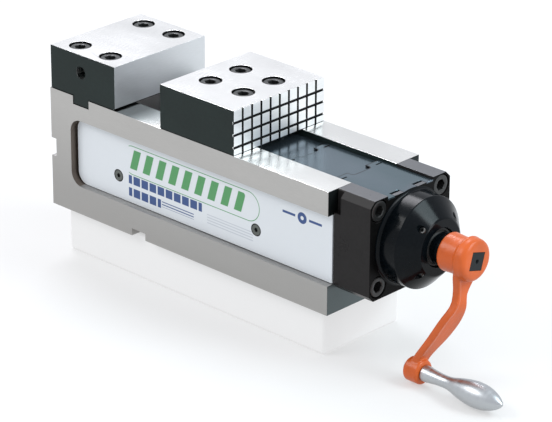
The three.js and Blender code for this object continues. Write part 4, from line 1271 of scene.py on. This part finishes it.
@dataclass(frozen=True)
class Spindle:
    """What turns with the crank and has a shape of its own here: the threaded lead screw and the collar."""

    pitch: float = 5.0
    outer: float = 9.8
    root: float = 7.4
    rear: float = -51.8
    thread_end: float = 112.0
    collar_rear: float = 216.3
    collar_bore: float = 10.3
    collar_radius: float = 12.7

    def build(self, paints: Paints) -> None:
        """Models the lead screw's thread and the shaft collar."""
        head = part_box("lead_screw")[1].x / MM
        end = self.thread_end
        core = Bench.turned("lead_screw_shaped", [
            (self.rear, 0.0), (self.rear, self.root - 1.5), (self.rear + 1.5, self.root), (end, self.root),
            (end, self.outer), (head - 6, self.outer), (head - 6, 14.8), (head - 5.6, 15.2), (head, 15.2),
            (head, 0.0)], steps=64)
        thread = self.thread(int((end - self.rear - 7.0) / self.pitch))
        Bench.clear()
        thread.select_set(True)
        core.select_set(True)
        bpy.context.view_layer.objects.active = core
        bpy.ops.object.join()
        Bench.shade(core, 35.0)
        Bench.dress(core, (paints.polished, None))
        Bench.fit(core, "spindle", "polished_steel", "lead_screw")
        bore, outer = self.collar_bore, self.collar_radius
        rings = [(0.0, bore), (0.0, outer - 0.5), (0.5, outer), (2.5, outer), (2.9, outer - 1.2),
                 (4.1, outer - 1.2), (4.5, outer), (6.5, outer), (7.5, outer - 1.0), (7.5, bore), (0.0, bore)]
        collar = Bench.turned("shaft_collar_shaped", [(self.collar_rear + x, radius) for x, radius in rings])
        Bench.dress(Bench.shade(collar, 30.0), (paints.gloss, None))
        Bench.fit(collar, "spindle", "screw_black", "shaft_collar")

    def thread(self, turns: int) -> bpy.types.Object:
        """Winds one left-hand trapezoidal tooth round the axis.

        Args:
            turns: The number of whole turns.

        Returns:
            The closed thread.
        """
        root = self.root - 0.3
        tooth = Bench.wire("thread", [(0.0, root), (1.0, self.outer), (2.6, self.outer), (3.6, root)], 0.0)
        bpy.ops.mesh.edge_face_add()
        bpy.ops.mesh.delete(type="ONLY_FACE")
        bpy.ops.object.mode_set(mode="OBJECT")
        Bench.modify(tooth, "SCREW", axis="X", angle=-2 * math.pi, screw_offset=self.pitch * MM,
                     iterations=turns, steps=28, render_steps=28, use_merge_vertices=True,
                     use_smooth_shade=True)
        Bench.hold(tooth)
        Bench.open("VERT")
        bpy.ops.mesh.fill_holes(sides=8)
        Bench.close()
        tooth.location = ((self.rear + 2.5) * MM, 0.0, AXIS_HEIGHT * MM)
        return Bench.settle(tooth)


@dataclass(frozen=True)
class Crank:
    """The cast crank, its pin and its turned grip, modelled hanging straight down and then swung."""

    angle: float = -16.3
    throw: float = 93.0
    hub_rear: float = 224.2
    hub_front: float = 250.8
    boss_rear: float = 211.8
    boss_front: float = 225.8
    square: float = 7.1
    thickness: float = 5.8
    bead: float = 2.4
    pin_radius: float = 3.5
    grip_radius: float = 9.7
    grip_length: float = 74.0
    bore_share: float = 0.55

    def swing(self, piece: bpy.types.Object) -> bpy.types.Object:
        """Turns a piece about the X axis to the crank's rest angle and lifts it to the spindle."""
        piece.matrix_world = about_axis(self.angle)
        return Bench.settle(piece)

    def build(self, paints: Paints) -> None:
        """Models the casting, the pin and the grip."""
        casting = self.casting()
        Bench.dress(casting, (paints.enamel, None))
        Bench.fit(self.swing(casting), "crank", "crank_enamel", "crank_arm")
        end, rear = self.boss_front + self.grip_length * self.bore_share, self.boss_rear
        pin = Bench.turned("grip_pin_shaped", [
            (rear - 2.3, 0.0), (rear - 2.3, 4.3), (rear - 1.9, 5.3), (rear - 1.1, 6.0), (rear - 0.3, 6.0),
            (rear - 0.3, self.pin_radius), (end, self.pin_radius), (end, 0.0)], -self.throw, 48)
        Bench.dress(Bench.shade(pin, 35.0), (paints.polished, None))
        Bench.fit(self.swing(pin), "crank", "polished_steel", "grip_pin")
        grip = self.grip()
        Bench.dress(grip, (paints.satin, None))
        Bench.fit(self.swing(grip), "grip", "polished_steel", "grip")

    def stations(self) -> list[tuple[float, float, float, float]]:
        """The arm's sections from the hub down, each an x, a height, a thickness and a width."""
        middle, foot = self.hub_front - 10, (self.boss_front + self.boss_rear) / 2
        knee = middle + 2.2
        slope = (knee - foot) / (self.throw - 42)
        path = [(middle + 1.5, 0.0), (middle + 1.1, -26.0), (knee, -36.0), (knee - 6 * slope, -45.0),
                (knee - 24 * slope, -63.0), (foot + 1, 9 - self.throw), (foot, -self.throw)]
        widths = [(0.0, 24.0), (-14.0, 21.0), (-28.0, 12.0), (-51.2, 20.4), (-81.8, 14.2),
                  (-self.throw, 14.0)]
        steps = 26
        rows = []
        for i in range(steps + 1):
            z = -2.0 - i * (self.throw - 2.0) / steps
            rows.append((smooth_between(path, z, True), z, self.thickness, smooth_between(widths, z, False)))
        return rows

    @staticmethod
    def drawn(name: str, rows: Sequence[Point], ys: Sequence[float]) -> bpy.types.Object:
        """Extrudes a rectangular section down a path.

        Args:
            name: The piece's name.
            rows: The sections from the hub down, each an x, a height, a thickness and a width.
            ys: The middle of each section across the arm.

        Returns:
            The closed bar.
        """
        Bench.clear()
        x, z, thickness, width = rows[0]
        bpy.ops.mesh.primitive_plane_add(size=1, location=(x * MM, ys[0] * MM, z * MM))
        bpy.context.active_object.scale = (thickness * MM, width * MM, 1)
        bar = Bench.take(name)
        Bench.open("FACE")
        for before, after, y, to in zip(rows, rows[1:], ys, ys[1:]):
            move = ((after[0] - before[0]) * MM, (to - y) * MM, (after[1] - before[1]) * MM)
            bpy.ops.mesh.extrude_region_move(TRANSFORM_OT_translate={"value": move})
            bpy.ops.transform.resize(value=(after[2] / before[2], after[3] / before[3], 1.0),
                                     center_override=(after[0] * MM, to * MM, after[1] * MM))
        Bench.close()
        return bar

    def casting(self) -> bpy.types.Object:
        """Joins the arm, the bead on its edge, the head and the boss, and blends them as a casting does."""
        rows = self.stations()
        arm = self.drawn("crank_arm_shaped", rows, [0.0] * len(rows))
        Bench.round_edges(arm, lambda a, b: abs(a.z - b.z) > 1.0, 1.3, 3)
        shift = (self.thickness - self.bead) / 2 + 0.7
        edge = [(x + shift, z, self.bead, self.bead) for x, z, _, _ in rows[4:-2]]
        bead = self.drawn("t", edge, [(self.bead - width) / 2 + 0.1 for _, _, _, width in rows[4:-2]])
        front = self.hub_front
        head = Bench.turned("t", [
            (self.hub_rear, 0), (self.hub_rear, 14.2), (self.hub_rear + 0.8, 15.0), (front - 11.5, 14.2),
            (front - 10.6, 14.4), (front - 9.6, 16.4), (front - 8.4, 17.2), (front - 7.2, 16.7),
            (front - 3.5, 16.4), (front - 1.4, 15.6), (front - 0.3, 14.0), (front, 12.5), (front, 0)], 0.0, 96)
        boss = Bench.turned("t", [
            (self.boss_rear, 0), (self.boss_rear, 7.8), (self.boss_rear + 1.7, 9.5),
            (self.boss_front - 1, 9.5), (self.boss_front, 8.6), (self.boss_front, 0)], -self.throw, 64)
        Bench.join(arm, bead, head, boss)
        Bench.modify(arm, "REMESH", mode="VOXEL", voxel_size=0.7 * MM)
        Bench.modify(arm, "SMOOTH", factor=0.5, iterations=4)
        hole = self.square
        Bench.cut(arm, Bench.block("t", (self.hub_rear - 2, -hole, -hole), (front + 2, hole, hole)),
                  Bench.bar("t", Along.X, self.pin_radius + 0.3, (self.boss_rear - 5, 0, -self.throw), 28, 40))
        Bench.hold(arm)
        bpy.ops.object.shade_smooth_by_angle(angle=math.radians(50))
        return arm

    def grip(self) -> bpy.types.Object:
        """Spins the grip's collar, neck, belly and tip."""
        start, length, radius = self.boss_front + 0.3, self.grip_length, self.grip_radius
        share = [(0.07, 0.62), (0.12, 0.56), (0.24, 0.49), (0.34, 0.53), (0.48, 0.8), (0.64, 1.0),
                 (0.78, 0.95), (0.9, 0.66), (0.97, 0.34), (1.0, 0.10)]
        steps = 44
        places = [0.09 + i * 0.91 / steps for i in range(steps + 1)]
        curve = [(start + t * length, radius * smooth_between(share, t, False)) for t in places]
        bore, end = self.pin_radius + 0.3, start + length * self.bore_share
        profile = [(start, bore), (start, 0.58 * radius), (start + 0.5, 0.63 * radius),
                   (start + 4.6, 0.63 * radius), (start + 5.2, 0.6 * radius), *curve,
                   (start + length, 0.0), (end, 0.0), (end, bore), (start, bore)]
        return Bench.shade(Bench.turned("grip_shaped", profile, -self.throw, 96), 30.0)


def about_axis(angle: float) -> Matrix:
    """Turns what is modelled round the X axis by an angle in degrees, and lifts it to the spindle's axis."""
    return Matrix.Translation((0, 0, AXIS_HEIGHT * MM)) @ Matrix.Rotation(math.radians(angle), 4, "X")


def smooth_between(points: Sequence[tuple[float, float]], at: float, by_second: bool) -> float:
    """Reads a smooth curve through points.

    Args:
        points: Pairs of numbers, in order of the one that is looked up.
        at: Where to read.
        by_second: Whether the pairs are (result, place) and not (place, result).

    Returns:
        The value there.
    """
    pairs = sorted((b, a) if by_second else (a, b) for a, b in points)
    places = [p for p, _ in pairs]
    values = [v for _, v in pairs]
    i = max(0, min(len(places) - 2, sum(p <= at for p in places) - 1))
    span = places[i + 1] - places[i]
    t = min(1.0, max(0.0, (at - places[i]) / span))

    def slope(k: int) -> float:
        """The curve's slope at a point."""
        low, high = max(0, k - 1), min(len(places) - 1, k + 1)
        return (values[high] - values[low]) / (places[high] - places[low])

    a, b = values[i], values[i + 1]
    da, db = slope(i) * span, slope(i + 1) * span
    return a + t * (da + t * (3 * (b - a) - 2 * da - db + t * (2 * (a - b) + da + db)))


@dataclass(frozen=True)
class Kept:
    """Frame nodes whose shape is right as it is, and that only get a finish."""

    polished: tuple[str, ...] = ("jaw_key", "disc_springs", "unit_piston", "thrust_rear_race",
                                 "thrust_front_race")
    ground: tuple[str, ...] = ("carriage", "unit_barrel")
    bronze: tuple[str, ...] = ("spindle_nut", "thrust_roller_cage")
    shaft: str = "drive_shaft"

    def build(self, paints: Paints) -> None:
        """Gives each node its material."""
        screws = [f"nut_screw_{i}" for i in (1, 2)] + [f"cover_screw_{i}" for i in (1, 2)]
        screws += [f"cap_set_screw_{i + 1}" for i in range(len(Cap.set_screws))]
        groups = ((paints.polished, self.polished), (paints.bed_side, self.ground),
                  (paints.bronze, self.bronze), (paints.screw, screws), (paints.square, [self.shaft]))
        for finish, names in groups:
            for name in names:
                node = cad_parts[name]
                node.data.materials.clear()
                node.data.materials.append(finish)
                log.info("%s: kept", name)


# ---- The studio ----


@dataclass(frozen=True)
class Studio:
    """The camera, the pale floor with a low stand that lets the crank hang, and soft lights."""

    eye: Point = (1480.9, -1502.7, 951.9)
    aim: Point = (47.4, 2.6, 37.0)
    roll: float = 0.318
    lens: float = 192.5
    surround: float = 0.9
    floor_glow: float = 0.46

    def camera(self) -> None:
        """Makes the camera."""
        data = bpy.data.cameras.new("camera")
        data.lens, data.sensor_width = self.lens, 36.0
        data.clip_start, data.clip_end = 0.1, 50.0
        camera = bpy.data.objects.new("camera", data)
        bpy.context.scene.collection.objects.link(camera)
        bpy.context.scene.camera = camera
        eye, aim = Vector(self.eye) * MM, Vector(self.aim) * MM
        camera.rotation_mode = "QUATERNION"
        camera.location = eye
        tilt = Quaternion((0, 0, 1), math.radians(self.roll))
        camera.rotation_quaternion = (aim - eye).to_track_quat("-Z", "Y") @ tilt

    def floor(self) -> None:
        """Makes the floor below the hanging grip, and the stand under the bed."""
        graph = Graph("pale_floor")
        cloud = graph.noise(3.0)
        graph.set(Base_Color=graph.mix(cloud, (0.34, 0.34, 0.34), (0.36, 0.36, 0.36)), Roughness=0.8,
                  Specular_IOR_Level=0.0, Emission_Color=(1.0, 1.0, 1.0), Emission_Strength=self.floor_glow)
        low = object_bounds()[0].z / MM
        Bench.clear()
        bpy.ops.mesh.primitive_plane_add(size=12, location=(0, 0, (low - 1) * MM))
        floor = Bench.take("floor")
        stand = Bench.block("stand", (-140, -42, low - 0.9), (140, 42, -0.3))
        Bench.soften(stand, 3.0, 3)
        for piece in (floor, stand):
            piece.data.materials.clear()
            piece.data.materials.append(graph.material)
        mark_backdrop(floor, stand)

    def softbox(self, name: str, place: Point, aim: Point, size: tuple[float, float], power: float,
                colour: Point = (1.0, 1.0, 1.0)) -> None:
        """Adds one rectangular light.

        Args:
            name: Its name.
            place: Where it stands, in metres.
            aim: Where it points.
            size: Its width and height in metres.
            power: Its power in watts.
            colour: Its colour.
        """
        data = bpy.data.lights.new(name, "AREA")
        data.shape, data.size, data.size_y = "RECTANGLE", *size
        data.energy, data.color = power, colour
        light = bpy.data.objects.new(name, data)
        bpy.context.scene.collection.objects.link(light)
        light.location = place
        light.rotation_mode = "QUATERNION"
        light.rotation_quaternion = (Vector(aim) - Vector(place)).to_track_quat("-Z", "Y")

    def light(self) -> None:
        """Makes the surrounding light and the softboxes."""
        world = bpy.data.worlds.new("studio")
        bpy.context.scene.world = world
        world.use_nodes = True
        background = world.node_tree.nodes["Background"]
        background.inputs["Color"].default_value = (0.93, 0.95, 1.0, 1.0)
        background.inputs["Strength"].default_value = self.surround
        self.softbox("key", (-1.2, -1.6, 1.9), (0, 0, 0.05), (1.4, 1.0), 30.0)
        self.softbox("rear", (-1.35, 0.8, 1.85), (0.15, 0, 0.05), (1.2, 0.6), 27.0, (0.95, 0.95, 1.0))
        self.softbox("overhead", (1.55, 0.8, 1.85), (0.15, 0, 0.05), (1.2, 0.7), 29.0, (0.78, 0.95, 1.0))
        self.softbox("front", (2.2, 0.6, 1.2), (0.15, 0, 0.05), (0.7, 1.4), 22.0, (0.93, 0.97, 1.0))
        bpy.context.scene.view_settings.view_transform = "Standard"


def main() -> None:
    """Builds the vise piece by piece and then the studio round it."""
    logging.basicConfig(level=logging.INFO, format="%(name)s: %(message)s")
    studio = Studio()
    studio.camera()
    paints = Paints()
    for assembly in (Bed(), FixedJaw(), MovingJaw(), Housing(), Covers(), Cap(), Spindle(), Crank(), Kept()):
        assembly.build(paints)
        log.info("%s done", type(assembly).__name__)
    studio.floor()
    studio.light()


if __name__ == "__main__":
    main()
